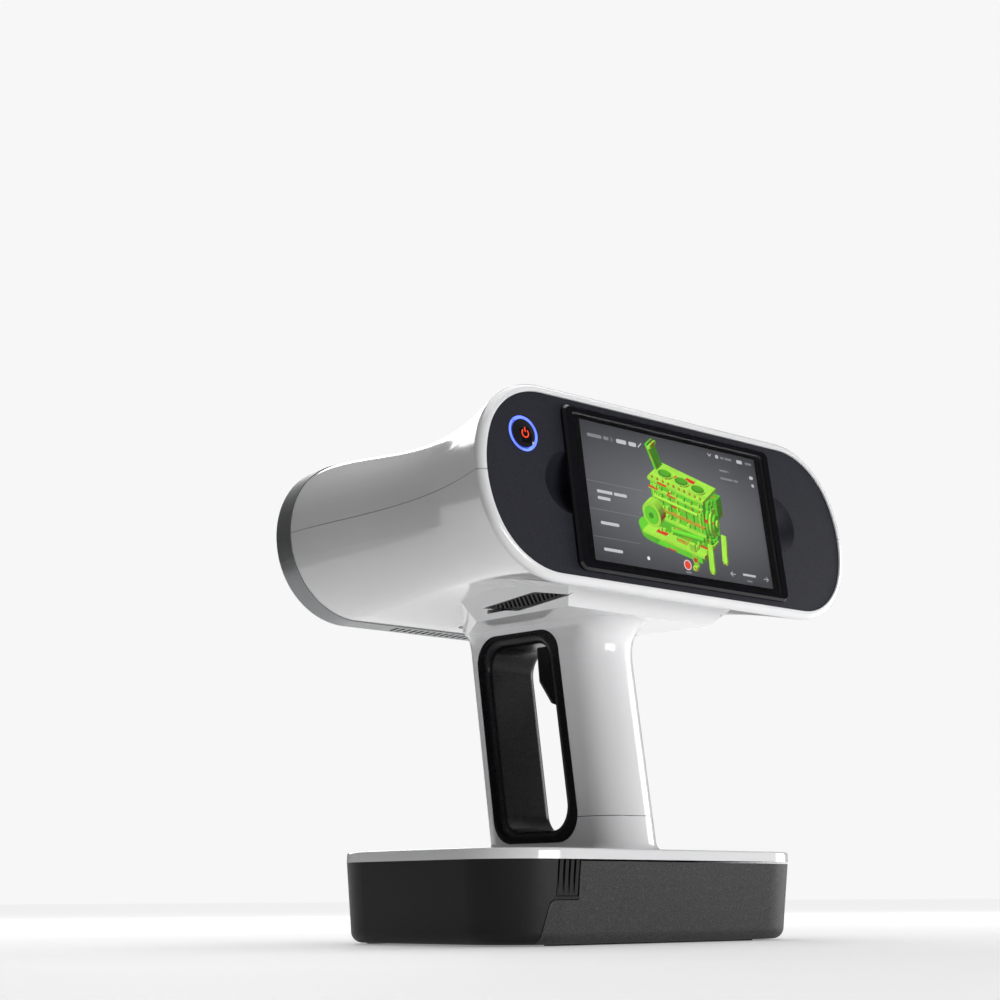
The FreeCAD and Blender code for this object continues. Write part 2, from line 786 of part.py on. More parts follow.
def build_power_button():
    centre = (value("Dims.power_x"), value("Dims.power_y"))
    ring = "Dims.power_ring_radius"
    cap = "Dims.power_cap_radius"
    keep(turned("power_light_ring", REAR,
                [(cap + " + 0.5", -3.4), (ring, -3.4), (ring, -0.5), (ring + " - 0.2", -0.2),
                 (cap + " + 0.7", -0.2), (cap + " + 0.5", -0.5)], centre))
    rim = value(cap)
    profile = [(0, -5.6), (1.8, -5.6), (1.8, -2.8), (rim, -2.8), (rim, -0.3), (CROWN_FLAT, 0.65), (0, 0.65)]
    keep(domed("power_button", REAR, profile, 4, (rim * 0.55, 0.37), centre))
    keep(plate("power_switch", REAR, box_corners(centre[0], centre[1], 9.0, 9.0), 0.6, -10.4, 3.8))


build_rear_panel()
build_display()
build_power_button()

# ---------------------------------------------------------------------------
# Inside the head: boards, heat sink, fan, storage and antenna
# ---------------------------------------------------------------------------

def build_boards():
    keep(plate("main_board", REAR, box_corners(0, 0, 150, 58), 3.0, -16.0, 1.6))
    keep(plate("storage_module", REAR, box_corners(48, -8, 30, 22), 0.8, -18.4, 2.4))
    keep(plate("camera_board", FRONT, box_corners(0, 0, 176, 44), 3.0, -36.0, 1.6))
    keep(plate("wireless_antenna", REAR, box_corners(-56, 16, 34, 8), 0.8, -17.6, 1.6))


def build_heat_sink():
    body = plate("heat_sink", REAR, box_corners(-6, -2, 62, 42), 1.0, -19.0, 3.0)
    fins = new_sketch(body, "heat_sink_fins", height=-29.0)
    first = -34.0
    pitch = 7.0
    for index in range(9):
        polygon(fins, box_corners(first + index * pitch, -2, 1.6, 40))
    pad(body, fins, 10.0)
    keep(body)


FAN_HUB = 8.0
FAN_PIN = 1.5
FAN_TIP = 17.6


def build_fan():
    corners = box_corners(0, "Dims.fan_y", "Dims.fan_size", "Dims.fan_size")
    body = plate("fan_housing", UPRIGHT, corners, 3.0, "Dims.fan_z", "Dims.fan_thick")
    bore = new_sketch(body, "fan_bore", height="Dims.fan_z + Dims.fan_thick")
    circle(bore, 0, "Dims.fan_y", 18.6)
    pocket(body, bore, "Dims.fan_thick")
    spokes = new_sketch(body, "fan_spokes", height="Dims.fan_z")
    polygon(spokes, box_corners(0, "Dims.fan_y", 38.4, 2.4))
    pad(body, spokes, 1.2)
    cross = new_sketch(body, "fan_cross_spokes", height="Dims.fan_z")
    polygon(cross, box_corners(0, "Dims.fan_y", 2.4, 38.4))
    pad(body, cross, 1.2)
    seat = new_sketch(body, "fan_motor_seat", height="Dims.fan_z")
    circle(seat, 0, "Dims.fan_y", FAN_HUB)
    pad(body, seat, 1.4)
    pin = new_sketch(body, "fan_pin", height="Dims.fan_z")
    circle(pin, 0, "Dims.fan_y", FAN_PIN)
    pad(body, pin, 7.0)
    keep(body)
    axle = Placement(Vector(0, value("Dims.fan_y"), value("Dims.fan_z")), Rotation())
    rotor = new_body("fan_impeller", axle)
    hub = new_sketch(rotor, "impeller_hub", height=2.0)
    circle(hub, 0, 0, FAN_HUB)
    pad(rotor, hub, 7.2)
    hollow = new_sketch(rotor, "impeller_bore", height=2.0)
    circle(hollow, 0, 0, FAN_PIN + 0.05)
    pocket(rotor, hollow, 5.6, reverse=True)
    blade = new_sketch(rotor, "impeller_blade", height=2.6)
    polygon(blade, [(FAN_HUB - 1.0, -0.6), (FAN_TIP - 1.0, 3.2), (FAN_TIP - 0.6, 4.2), (FAN_HUB - 1.0, 0.8)])
    blade_pad = pad(rotor, blade, 6.0)
    pattern = rotor.newObject("PartDesign::PolarPattern", "impeller_blades")
    pattern.Originals = [blade_pad]
    pattern.Axis = (hub, ["N_Axis"])
    pattern.Angle = 360
    pattern.Occurrences = 7
    rotor.Tip = pattern
    doc.recompute()
    keep(rotor)


build_boards()
build_heat_sink()
build_fan()

# ---------------------------------------------------------------------------
# Handle: a leaning post around a finger window, in two mouldings
# ---------------------------------------------------------------------------

LEAN = math.tan(math.radians(value("Dims.lean")))
LEANING = Vector(0, math.sin(math.radians(value("Dims.lean"))), math.cos(math.radians(value("Dims.lean"))))
SLOPE = "tan(Dims.lean * 1deg)"


def leaning_y(y_at_middle, z):
    """The y of a leaning line at height z, from its y at the window's mid-height."""
    return "%s + (%s - Dims.window_mid_z) * %s" % (y_at_middle, z, SLOPE)


def window_corners(rear, front, margin):
    low = "Dims.window_mid_z - Dims.window_tall / 2 + %s" % margin
    high = "Dims.window_mid_z + Dims.window_tall / 2 - %s" % margin
    return [(leaning_y(rear, low), low), (leaning_y(front, low), low),
            (leaning_y(front, high), high), (leaning_y(rear, high), high)]


def add_stem(body, prefix, low_z, high_z):
    """The leaning post itself, between two heights."""
    sketch = new_sketch(body, prefix + "_stem", height=low_z)
    centre = leaning_y("Dims.stem_mid_y", low_z)
    rounded_polygon(sketch, box_corners(0, centre, "Dims.stem_width", "Dims.stem_length"), "Dims.stem_radius")
    length = "(%s - (%s)) / cos(Dims.lean * 1deg)" % (high_z, low_z)
    feature = body.newObject("PartDesign::Pad", prefix + "_stem_pad")
    feature.Profile = sketch
    feature.UseCustomVector = True
    feature.Direction = LEANING
    feature.AlongSketchNormal = False
    bind(feature, "Length", length)
    doc.recompute()


def cut_window(body, prefix, margin=0.0):
    sketch = new_sketch(body, prefix + "_window", "YZ_Plane")
    rounded_polygon(sketch, window_corners("Dims.window_rear", "Dims.window_front", margin), "Dims.window_radius")
    pocket(body, sketch, 80.0, midplane=True)


def cut_side(body, name, corners):
    """Cut a side-view outline right through the handle."""
    sketch = new_sketch(body, name, "YZ_Plane")
    polygon(sketch, corners)
    pocket(body, sketch, 400.0, midplane=True)


def cut_spine_channel(body, prefix, top):
    sketch = new_sketch(body, prefix + "_channel", height=top)
    centre = leaning_y("Dims.window_rear - 11.8", top)
    rounded_polygon(sketch, box_corners(0, centre, 16.4, 12.4), 4.0)
    feature = body.newObject("PartDesign::Pocket", prefix + "_channel_cut")
    feature.Profile = sketch
    feature.UseCustomVector = True
    feature.Direction = LEANING * -1.0
    feature.AlongSketchNormal = False
    feature.Length = 160.0
    doc.recompute()


VENT_THICK = 1.6
VENT_SUNK = 0.9


def vent_frame(side):
    """On the neck's flank: local x runs forward, local z is the flank's outward normal."""
    forward = Vector(-side * math.sin(FLANK_TURN), math.cos(FLANK_TURN), 0)
    across = Vector(side * math.cos(FLANK_TURN), math.sin(FLANK_TURN), 0)
    outward = across * math.sin(FLANK_SLOPE) - Vector(0, 0, math.cos(FLANK_SLOPE))
    y, rise = -25.4, 4.3
    centre = Vector(side * flank_x(y, rise), y, value("Dims.neck_low_z") + rise)
    return Placement(centre, Rotation(forward, outward.cross(forward), outward, "ZXY"))


def leaf(label, side, inset, low, thickness):
    """The vent's outline: a slim rhombus whose two wide corners are rounded."""
    body = new_body(label, vent_frame(side))
    sketch = new_sketch(body, label + "_outline", height=low)
    up = 1 if body.Placement.Rotation.multVec(Vector(0, 1, 0)).z > 0 else -1
    reach, half = 30.0 - 6 * inset, 4.0 - inset
    corners = [(reach, 0.6 * up), (-9.0, half * up), (-reach, -0.6 * up), (9.0, -half * up)]
    polygon(sketch, corners)
    pad(body, sketch, thickness)
    fillet(body, lambda edge: edge.BoundBox.XLength < 1e-3 and abs(edge.CenterOfMass.x) < 15
           and edge.BoundBox.ZLength > 0.1, 14.0)
    return body


def build_vents():
    for side, name in ((-1, "left"), (1, "right")):
        body = leaf("neck_vent_" + name, side, 0.12, -VENT_SUNK - VENT_THICK, VENT_THICK)
        slots = new_sketch(body, name + "_vent_slots", height=-VENT_SUNK)
        for index in range(17):
            x = (index - 8) * 2.9
            half = 2.55 - 0.2 * abs(index - 8)
            middle = -0.035 * x * (1 if body.Placement.Rotation.multVec(Vector(0, 1, 0)).z > 0 else -1)
            slant = 0.5
            polygon(slots, [(x - 0.75 - slant, middle - half), (x + 0.75 - slant, middle - half),
                            (x + 0.75 + slant, middle + half), (x - 0.75 + slant, middle + half)])
        pocket(body, slots, VENT_THICK)
        keep(body)


def build_handle_grip():
    """Upper moulding: neck pedestal, grip down to its seam, and the front post's top."""
    body = new_body("grip_blank")
    neck_pedestal(body, "neck")
    add_stem(body, "grip", 40.0, "Dims.neck_low_z + 2")
    add_flare(body)
    cut_window(body, "grip")
    middle = "(Dims.window_rear + Dims.window_front) / 2"
    post = "Dims.post_seam_z"
    seam = "Dims.grip_seam_z"
    cut_side(body, "grip_below_seams",
             [(leaning_y(middle, post), post), (120, post), (120, 20), (-120, 20), (-120, seam),
              (leaning_y(middle, post), seam)])
    cut_spine_channel(body, "grip", "Dims.neck_top_z")
    for side, name in ((-1, "left"), (1, "right")):
        duct = new_sketch(body, name + "_duct", height="Dims.neck_top_z")
        near, far = side * 20.0, side * 45.5
        rounded_polygon(duct, [(near, -46.0), (far, -46.0), (far, 4.0), (near, 4.0)], 3.0)
        pocket(body, duct, "Dims.neck_top_z - Dims.neck_low_z - 2.4")
    leaves = [leaf(name + "_vent_opening", side, 0.0, -9.0, 14.0) for side, name in ((-1, "left"), (1, "right"))]
    keep(boolean("Cut", "handle_grip", body, fused("vent_cutters", leaves)))


# distance below the pedestal, and how far the post has spread sideways and rearward there
FLARE_STEPS = [(18.0, 0.0, 0.0), (12.0, 0.0, 1.0), (6.0, 0.1, 4.0), (-0.2, 2.0, 12.0)]


def add_flare(body):
    """The post's top spreads into the pedestal: tightly at the sides, widely at the rear."""
    sections = []
    for index, (below, side, rear) in enumerate(FLARE_STEPS):
        height = "Dims.neck_low_z - (%s)" % below
        sketch = new_sketch(body, "flare_%d" % index, height=height)
        centre = "%s - %s" % (leaning_y("Dims.stem_mid_y", height), rear / 2)
        rounded_polygon(sketch, box_corners(0, centre, "Dims.stem_width + %s" % (2 * side),
                                            "Dims.stem_length + %s" % rear), "Dims.stem_radius")
        sections.append(sketch)
    loft = body.newObject("PartDesign::AdditiveLoft", "neck_flare")
    loft.Profile = sections[0]
    loft.Sections = sections[1:]
    loft.Ruled = False
    doc.recompute()


def build_base_cover():
    """Lower moulding: the cover plate, the grip's foot and the front post."""
    body = new_body("base_cover")
    outline = new_sketch(body, "cover_outline", height="Dims.cover_low_z")
    rounded_polygon(outline, box_corners(0, "Dims.base_mid_y", "Dims.base_width", "Dims.base_depth"),
                    "Dims.base_corner")
    pad(body, outline, "Dims.cover_thick")
    fillet(body, level_edge(value("Dims.cover_low_z + Dims.cover_thick")), 1.2)
    add_stem(body, "post", "Dims.cover_low_z", "Dims.post_seam_z")
    fillet(body, stem_foot_edge, 4.0)
    cut_window(body, "post")
    middle = "(Dims.window_rear + Dims.window_front) / 2"
    seam = "Dims.grip_seam_z - Dims.seam_gap"
    cut_side(body, "cover_above_seam",
             [(-120, seam), (leaning_y(middle, "Dims.post_seam_z"), seam),
              (leaning_y(middle, "Dims.post_seam_z"), 160), (-120, 160)])
    cut_spine_channel(body, "post", "Dims.grip_seam_z")
    keep(body)


def stem_foot_edge(edge):
    box = edge.BoundBox
    top = value("Dims.cover_low_z + Dims.cover_thick")
    flat = abs(box.ZMin - top) < 1e-3 and abs(box.ZMax - top) < 1e-3
    return flat and max(abs(box.XMin), abs(box.XMax)) < 17.0


def build_spine():
    body = new_body("handle_spine")
    low = "Dims.cover_low_z + 2"
    sketch = new_sketch(body, "spine_outline", height=low)
    centre = leaning_y("Dims.window_rear - 11.8", low)
    rounded_polygon(sketch, box_corners(0, centre, 16.0, 12.0), 3.8)
    rounded_polygon(sketch, box_corners(0, centre, 13.0, 9.0), 2.3)
    feature = body.newObject("PartDesign::Pad", "spine_pad")
    feature.Profile = sketch
    feature.UseCustomVector = True
    feature.Direction = LEANING
    feature.AlongSketchNormal = False
    bind(feature, "Length", "(Dims.neck_top_z - 1.5 - (%s)) / cos(Dims.lean * 1deg)" % low)
    doc.recompute()
    keep(body)


TRIGGER_GAP = 0.4


def trigger_corners():
    return [(-9.3, 131.2), (7.6, 131.2), (5.6, 115.2), (-2.0, 105.6), (-9.6, 103.4), (-11.2, 104.6)]


def recess_corners():
    """Room for the trigger at rest and pulled."""
    return [(-10.6, 131.8), (20.0, 131.8), (20.0, 102.0), (-15.4, 102.0)]


def build_lining(name, side):
    """Half of the black window lining, with rounded lips and the trigger's recess."""
    body = new_body("opening_lining_" + name)
    half = "Dims.stem_width / 2 + 0.3"
    outline = new_sketch(body, name + "_lining_outline", "YZ_Plane")
    rounded_polygon(outline, window_corners("Dims.window_rear + 0.05", "Dims.window_front - 0.05", 0.05),
                    "Dims.window_radius - 0.05")
    pad(body, outline, half, reverse=side < 0)
    hole = new_sketch(body, name + "_lining_hole", "YZ_Plane")
    rounded_polygon(hole, window_corners("Dims.window_rear + Dims.lip_rear", "Dims.window_front - Dims.lip_front",
                                         "Dims.lip_end"), "Dims.window_radius - 2")
    pocket(body, hole, 80.0, midplane=True)
    reach = value(half)
    fillet(body, lining_lip_edge(side * reach), 4.4)
    recess = new_sketch(body, name + "_trigger_recess", "YZ_Plane")
    polygon(recess, recess_corners())
    pocket(body, recess, "2 * (Dims.trigger_half + %s)" % TRIGGER_GAP, midplane=True)
    bearing = new_sketch(body, name + "_pin_hole", "YZ_Plane")
    circle(bearing, "Dims.trigger_pin_y", "Dims.trigger_pin_z", "Dims.trigger_pin_radius")
    pocket(body, bearing, 28.4, midplane=True)
    keep(body)


def lining_lip_edge(x):
    """Edges of the see-through hole on the lining's outer face."""
    def test(edge):
        box = edge.BoundBox
        flat = abs(box.XMin - x) < 1e-3 and abs(box.XMax - x) < 1e-3
        middle = edge.CenterOfMass
        shear = middle.y - (middle.z - value("Dims.window_mid_z")) * LEAN
        low, high = value("Dims.window_rear + Dims.lip_rear"), value("Dims.window_front - Dims.lip_front")
        tall = value("Dims.window_tall / 2 - Dims.lip_end")
        inside = low - 0.3 < shear < high + 0.3
        return flat and inside and abs(middle.z - value("Dims.window_mid_z")) < tall + 0.1
    return test


def build_trigger():
    body = new_body("trigger")
    outline = new_sketch(body, "trigger_outline", "YZ_Plane")
    polygon(outline, trigger_corners())
    pad(body, outline, "2 * Dims.trigger_half", midplane=True)
    fillet(body, trigger_front_edge, 2.6)
    bearing = new_sketch(body, "trigger_bore", "YZ_Plane")
    circle(bearing, "Dims.trigger_pin_y", "Dims.trigger_pin_z", "Dims.trigger_pin_radius + 0.05")
    pocket(body, bearing, 60.0, midplane=True)
    keep(body)
    pin_start = Vector(-14.2, value("Dims.trigger_pin_y"), value("Dims.trigger_pin_z"))
    across = Rotation(Vector(0, 1, 0), 90)
    keep(rod("trigger_pin", "Dims.trigger_pin_radius", 28.4, Placement(pin_start, across)))


def trigger_front_edge(edge):
    """The long front corner of the finger pad, its two side edges and the slope's edges."""
    return edge.CenterOfMass.y > -1.5 and edge.BoundBox.ZMin > 105.0 and edge.BoundBox.ZMax < 131.1 \
        or (edge.CenterOfMass.y > 5.0)


build_handle_grip()
build_vents()
build_base_cover()
build_spine()
build_lining("left", -1)
build_lining("right", 1)
build_trigger()

# ---------------------------------------------------------------------------
# Base: housing with a battery drawer that opens towards the user
# ---------------------------------------------------------------------------

def base_solid(label):
    """The black base's outer form: drafted sides and a rounded bottom edge."""
    body = new_body(label)
    sketch = new_sketch(body, label + "_top", height="Dims.cover_low_z")
    rounded_polygon(sketch, box_corners(0, "Dims.base_mid_y", "Dims.base_width", "Dims.base_depth"),
                    "Dims.base_corner")
    tall = "(Dims.cover_low_z - Dims.foot_height)"
    sides = pad(body, sketch, tall, reverse=True)
    sides.setExpression("TaperAngle", "-atan(Dims.base_draft / %s)" % tall)
    doc.recompute()
    fillet(body, level_edge(value("Dims.foot_height")), "Dims.base_edge")
    return body


def drawer_prism(label, corners, front_y):
    """An x, z outline carried from the drawer's front face out past the screen side."""
    body = new_body(label)
    sketch = new_sketch(body, label + "_profile", "XZ_Plane", height="-(%s)" % front_y)
    polygon(sketch, corners)
    pad(body, sketch, 120.0)
    return body


def battery_prism(label, gap, ceiling, front_y):
    """The battery's main block, which takes in the whole right corner of the base."""
    left = "-(Dims.battery_top_half - (%s))" % gap
    return drawer_prism(label, [(120, -5), (120, ceiling), (left, ceiling), (left, -5)], front_y)


def guide_prism(label, gap, front_y):
    """The low guide beside it, which runs under the release; its outer shoulder is rounded."""
    top, mid, low = ["-(Dims.battery_%s_half - (%s))" % (name, gap) for name in ("top", "mid", "low")]
    shoulder = "Dims.battery_step_z - (%s)" % gap
    body = drawer_prism(label, [(top, -5), (top, shoulder), (mid, shoulder), (low, -5)], front_y)
    outer_x = value(mid)
    fillet(body, lambda edge: edge.BoundBox.YLength > 50 and abs(edge.CenterOfMass.x - outer_x) < 0.1, 3.0)
    return body


RELEASE_X = -67.2
RELEASE_WIDTH = 11.0
RELEASE_LOW_Z = 19.8
RELEASE_DEPTH = 5.0
RELEASE_TRAVEL = 1.8
RELEASE_MIDDLE = RELEASE_X + RELEASE_WIDTH / 2
REAR_FACE_Y = "Dims.base_mid_y - Dims.base_depth / 2"


def release_box(label, grow, width, depth):
    """The pocket or the button at the top of the left rear corner."""
    height = value("Dims.cover_low_z") - RELEASE_LOW_Z - 0.3 + 2 * grow
    return block(label, (RELEASE_X - grow, value(REAR_FACE_Y) - 5.0, RELEASE_LOW_Z - grow),
                 (width + grow, depth + 5.0, height))


BOSSES = [(-78.0, 40.0), (78.0, 40.0), (-40.0, 50.0), (40.0, 50.0), (-82.0, -22.0), (80.0, 16.0)]


def build_base_housing():
    shell = base_solid("base_form")
    front_cavity = new_sketch(shell, "front_cavity", height="Dims.cover_low_z")
    wall = "Dims.base_wall"
    inner_half = "Dims.base_width / 2 - Dims.base_draft - %s" % wall
    front = "Dims.base_mid_y + Dims.base_depth / 2 - Dims.base_draft - %s" % wall
    partition = "Dims.battery_front_y + Dims.drawer_gap + 2.2"
    rounded_polygon(front_cavity, [("-(%s)" % inner_half, partition), (inner_half, partition),
                                   (inner_half, front), ("-(%s)" % inner_half, front)], 20.0)
    pocket(shell, front_cavity, "Dims.cover_low_z - Dims.foot_height - Dims.base_wall")
    cavity = new_sketch(shell, "left_side_cavity", height="Dims.cover_low_z")
    rounded_polygon(cavity, [(-78.0, -46.0), (-86.0, -46.0), (-86.0, 0.5), (-78.0, 0.5)], 3.8)
    pocket(shell, cavity, "Dims.cover_low_z - Dims.foot_height - Dims.base_wall")
    bosses = new_sketch(shell, "screw_bosses", height="Dims.foot_height + 1")
    for x, y in BOSSES:
        circle(bosses, x, y, 4.2)
    pad(shell, bosses, "Dims.cover_low_z - Dims.foot_height - 1")
    heads = new_sketch(shell, "screw_head_holes", height="Dims.foot_height")
    for x, y in BOSSES:
        circle(heads, x, y, 2.9)
    pocket(shell, heads, 3.0, reverse=True)
    shanks = new_sketch(shell, "screw_shank_holes", height="Dims.foot_height")
    for x, y in BOSSES:
        circle(shanks, x, y, 1.5)
    pocket(shell, shanks, 24.0, reverse=True)
    bay_front = "Dims.battery_front_y + Dims.drawer_gap"
    bay = battery_prism("drawer_bay", 0.0, "Dims.cover_low_z + 1", bay_front)
    guide_bay = guide_prism("guide_bay", 0.0, bay_front)
    pocket_depth = RELEASE_DEPTH + RELEASE_TRAVEL + 0.6
    release_pocket = release_box("release_pocket", 0.3, RELEASE_WIDTH + 1.0, pocket_depth)
    spot = Vector(RELEASE_MIDDLE, value(REAR_FACE_Y) + pocket_depth - 0.1, 27.0)
    well = rod("spring_well", 3.0, 4.0, Placement(spot, Rotation(Vector(1, 0, 0), -90)))
    blade_window = block("blade_window", (-8.8, value("Dims.battery_front_y") - 2.0, 11.8), (17.6, 6.0, 7.4))
    keep(boolean("Cut", "base_housing", shell,
                 fused("housing_cutters", [bay, guide_bay, release_pocket, well, blade_window])))


def build_release_button():
    """A ribbed tab in the left rear corner and the spring that carries it."""
    rear = value(REAR_FACE_Y)
    blank = boolean("Common", "release_blank", base_solid("release_form"),
                    release_box("release_block", 0.0, RELEASE_WIDTH, RELEASE_DEPTH))
    grooves = []
    tilt = Rotation(Vector(1, 0, 0), -2.9)
    for index in range(4):
        start = Vector(RELEASE_X + index * 2.9, rear + 2.0, value("Dims.cover_low_z"))
        grooves.append(block("groove_%d" % index, (-0.6, -6.0, -30.0), (1.2, 6.0, 32.0), Placement(start, tilt)))
    keep(boolean("Cut", "release_button_left", blank, fused("grooves", grooves)))
    start = Vector(RELEASE_MIDDLE, rear + RELEASE_DEPTH, 27.0)
    keep(coil_spring("release_spring_left", start, Vector(0, 1, 0), 2.2, 0.35, 6.0, 5))


def coil_spring(label, start, direction, radius, wire, length, turns):
    """A round-wire compression spring whose first coil lies at start."""
    helix = doc.addObject("Part::Helix", label + "_line")
    helix.Pitch = (length - 2 * wire) / turns
    helix.Height = length - 2 * wire
    helix.Radius = radius
    section = doc.addObject("Part::Circle", label + "_wire")
    section.Radius = wire
    section.Placement = Placement(Vector(radius, 0, 0), Rotation(Vector(1, 0, 0), 90))
    sweep = doc.addObject("Part::Sweep", label)
    sweep.Sections = [section]
    doc.recompute()
    sweep.Spine = (helix, ["Edge%d" % (index + 1) for index in range(len(helix.Shape.Edges))])
    sweep.Solid = True
    sweep.Frenet = True
    turn = Rotation(Vector(0, 0, 1), direction)
    sweep.Placement = Placement(start + direction * wire, turn)
    doc.recompute()
    return sweep


def build_battery():
    form = base_solid("battery_form")
    blank = boolean("Common", "battery_blank", form,
                    battery_prism("battery_prism", "Dims.drawer_gap", "Dims.cover_low_z - Dims.battery_clear",
                                  "Dims.battery_front_y"))
    wall = value("Dims.battery_wall")
    rear = value(REAR_FACE_Y) + value("Dims.base_draft") + wall
    front = value("Dims.battery_front_y") - wall
    half = value("Dims.battery_top_half - Dims.drawer_gap") - wall
    floor = value("Dims.foot_height") + wall
    top = value("Dims.cover_low_z")
    main = block("battery_hollow", (-half, rear, floor), (2 * half, front - rear, 60.0))
    right_wing = block("right_wing", (half - 1.0, -46.0, floor + 3.0), (84.5 - half + 1.0, front + 46.0, 22.0))
    socket = block("battery_socket_gap", (-13.0, front - 1.0, 10.0), (26.0, wall + 2.0, 11.0))
    keep(boolean("Cut", "battery_case", blank, fused("battery_cutters", [main, right_wing, socket])))
    lid_top = top - value("Dims.battery_clear") - 0.2
    keep(plate("battery_lid", UPRIGHT, box_corners(0, (rear + front) / 2, 2 * half - 0.2, front - rear - 0.2),
               1.0, lid_top - 2.0, 2.0))
    cells = new_body("battery_cells")
    pitch = 20.4
    sketch = new_sketch(cells, "cell_ends", "XZ_Plane", height=-(front - 1.5))
    for index in range(5):
        circle(sketch, (index - 2) * pitch, "Dims.cell_radius + %s" % (floor + 0.2), "Dims.cell_radius")
    pad(cells, sketch, "Dims.cell_length")
    fillet(cells, lambda edge: edge.BoundBox.YLength < 1e-3, 0.8)
    keep(cells)
    keep(plate("battery_board", UPRIGHT, box_corners(0, (rear + front) / 2, 96.0, 58.0), 2.0, 25.6, 1.6))


def build_battery_guide():
    """The guide's block, hollow towards the battery's side wall."""
    blank = boolean("Common", "guide_blank", base_solid("guide_form"),
                    guide_prism("guide_prism", "Dims.drawer_gap", "Dims.battery_front_y"))
    wall = value("Dims.battery_wall")
    outer = value("Dims.battery_mid_half - Dims.drawer_gap") - wall
    rear = value(REAR_FACE_Y) + value("Dims.base_draft") + wall + 12.0
    front = value("Dims.battery_front_y") - wall
    floor = value("Dims.foot_height") + wall + 3.0
    ceiling = value("Dims.battery_step_z - Dims.drawer_gap") - wall - 1.0
    inner = value("Dims.battery_top_half - Dims.drawer_gap") - 1.0
    hollow = block("guide_hollow", (-outer, rear, floor), (outer - inner, front - rear, ceiling - floor))
    keep(boolean("Cut", "battery_guide", blank, hollow))


def build_contacts():
    """Blades on the base side plug into slots on the battery side as the drawer closes."""
    front = value("Dims.battery_front_y")
    socket = new_body("battery_socket")
    outline = new_sketch(socket, "socket_outline", "XZ_Plane", height=-front)
    polygon(outline, box_corners(0, 15.5, 25.6, 10.6))
    pad(socket, outline, 2.9)
    slots = new_sketch(socket, "socket_slots", "XZ_Plane", height=-front)
    for index in range(4):
        polygon(slots, box_corners(-7.5 + 5.0 * index, 15.5, 1.8, 7.0))
    pocket(socket, slots, 2.4, reverse=True)
    keep(socket)
    plug = new_body("base_plug")
    body_face = front + value("Dims.drawer_gap")
    block_outline = new_sketch(plug, "plug_outline", "XZ_Plane", height=-(body_face + 8.0))
    polygon(block_outline, box_corners(0, 15.5, 24.0, 10.0))
    pad(plug, block_outline, 5.7)
    blades = new_sketch(plug, "plug_blades", "XZ_Plane", height=-(body_face + 2.4))
    for index in range(4):
        polygon(blades, box_corners(-7.5 + 5.0 * index, 15.5, 0.8, 6.0))
    pad(plug, blades, 4.0)
    keep(plug)
    keep(plate("power_board", UPRIGHT, box_corners(0, 28.0, 64.0, 26.0), 2.0, 7.0, 1.6))


def build_feet_and_screws():
    height = value("Dims.foot_height")
    feet = new_body("housing_feet")
    sketch = new_sketch(feet, "housing_foot_pads")
    for x in (-60.0, 60.0):
        rounded_polygon(sketch, box_corners(x, 44.0, 30.0, 6.0), 2.8)
    pad(feet, sketch, height)
    keep(feet)
    feet = new_body("battery_foot")
    sketch = new_sketch(feet, "battery_foot_pad")
    rounded_polygon(sketch, box_corners(0, -56.0, 124.0, 6.0), 2.8)
    pad(feet, sketch, height)
    keep(feet)
    screws = new_body("base_screws")
    heads = new_sketch(screws, "screw_heads", height="Dims.foot_height + 0.6")
    for x, y in BOSSES:
        circle(heads, x, y, 2.7)
    pad(screws, heads, 2.4)
    shanks = new_sketch(screws, "screw_shanks", height="Dims.foot_height + 3")
    for x, y in BOSSES:
        circle(shanks, x, y, 1.45)
    pad(screws, shanks, 20.0)
    recesses = new_sketch(screws, "screw_recesses", height="Dims.foot_height + 0.6")
    for x, y in BOSSES:
        circle(recesses, x, y, 1.3)
    pocket(screws, recesses, 1.4, reverse=True)
    keep(screws)


build_base_housing()
build_release_button()
build_battery()
build_battery_guide()
build_contacts()
build_feet_and_screws()


# ---------------------------------------------------------------------------
# Check every object, then write one file per node
# ---------------------------------------------------------------------------

def check_document():
    doc.recompute()
    for thing in doc.Objects:
        if "Invalid" in thing.State or "Error" in thing.State:
            raise RuntimeError("%s failed: %s" % (thing.Name, thing.State))
    for label, feature in nodes.items():
        shape = feature.Shape
        if shape.isNull() or not shape.isValid() or not shape.Solids:
            raise RuntimeError("%s has no valid solid" % label)


def write_parts():
    os.makedirs("parts", exist_ok=True)
    for label, feature in nodes.items():
        feature.Shape.exportStep("parts/%s.step" % label)


check_document()
write_parts()
whole = Part.makeCompound([feature.Shape for feature in nodes.values()]).BoundBox
print("%d nodes, %.1f x %.1f x %.1f mm" % (len(nodes), whole.XLength, whole.YLength, whole.ZLength))
print("x %.2f..%.2f  y %.2f..%.2f  z %.2f..%.2f" % (whole.XMin, whole.XMax, whole.YMin, whole.YMax,
                                                    whole.ZMin, whole.ZMax))
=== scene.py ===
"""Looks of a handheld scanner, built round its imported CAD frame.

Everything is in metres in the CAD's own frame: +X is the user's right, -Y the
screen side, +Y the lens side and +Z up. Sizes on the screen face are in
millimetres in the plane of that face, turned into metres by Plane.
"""
import json
import math
import random

import bmesh
import bpy
from mathutils import Matrix, Vector, noise


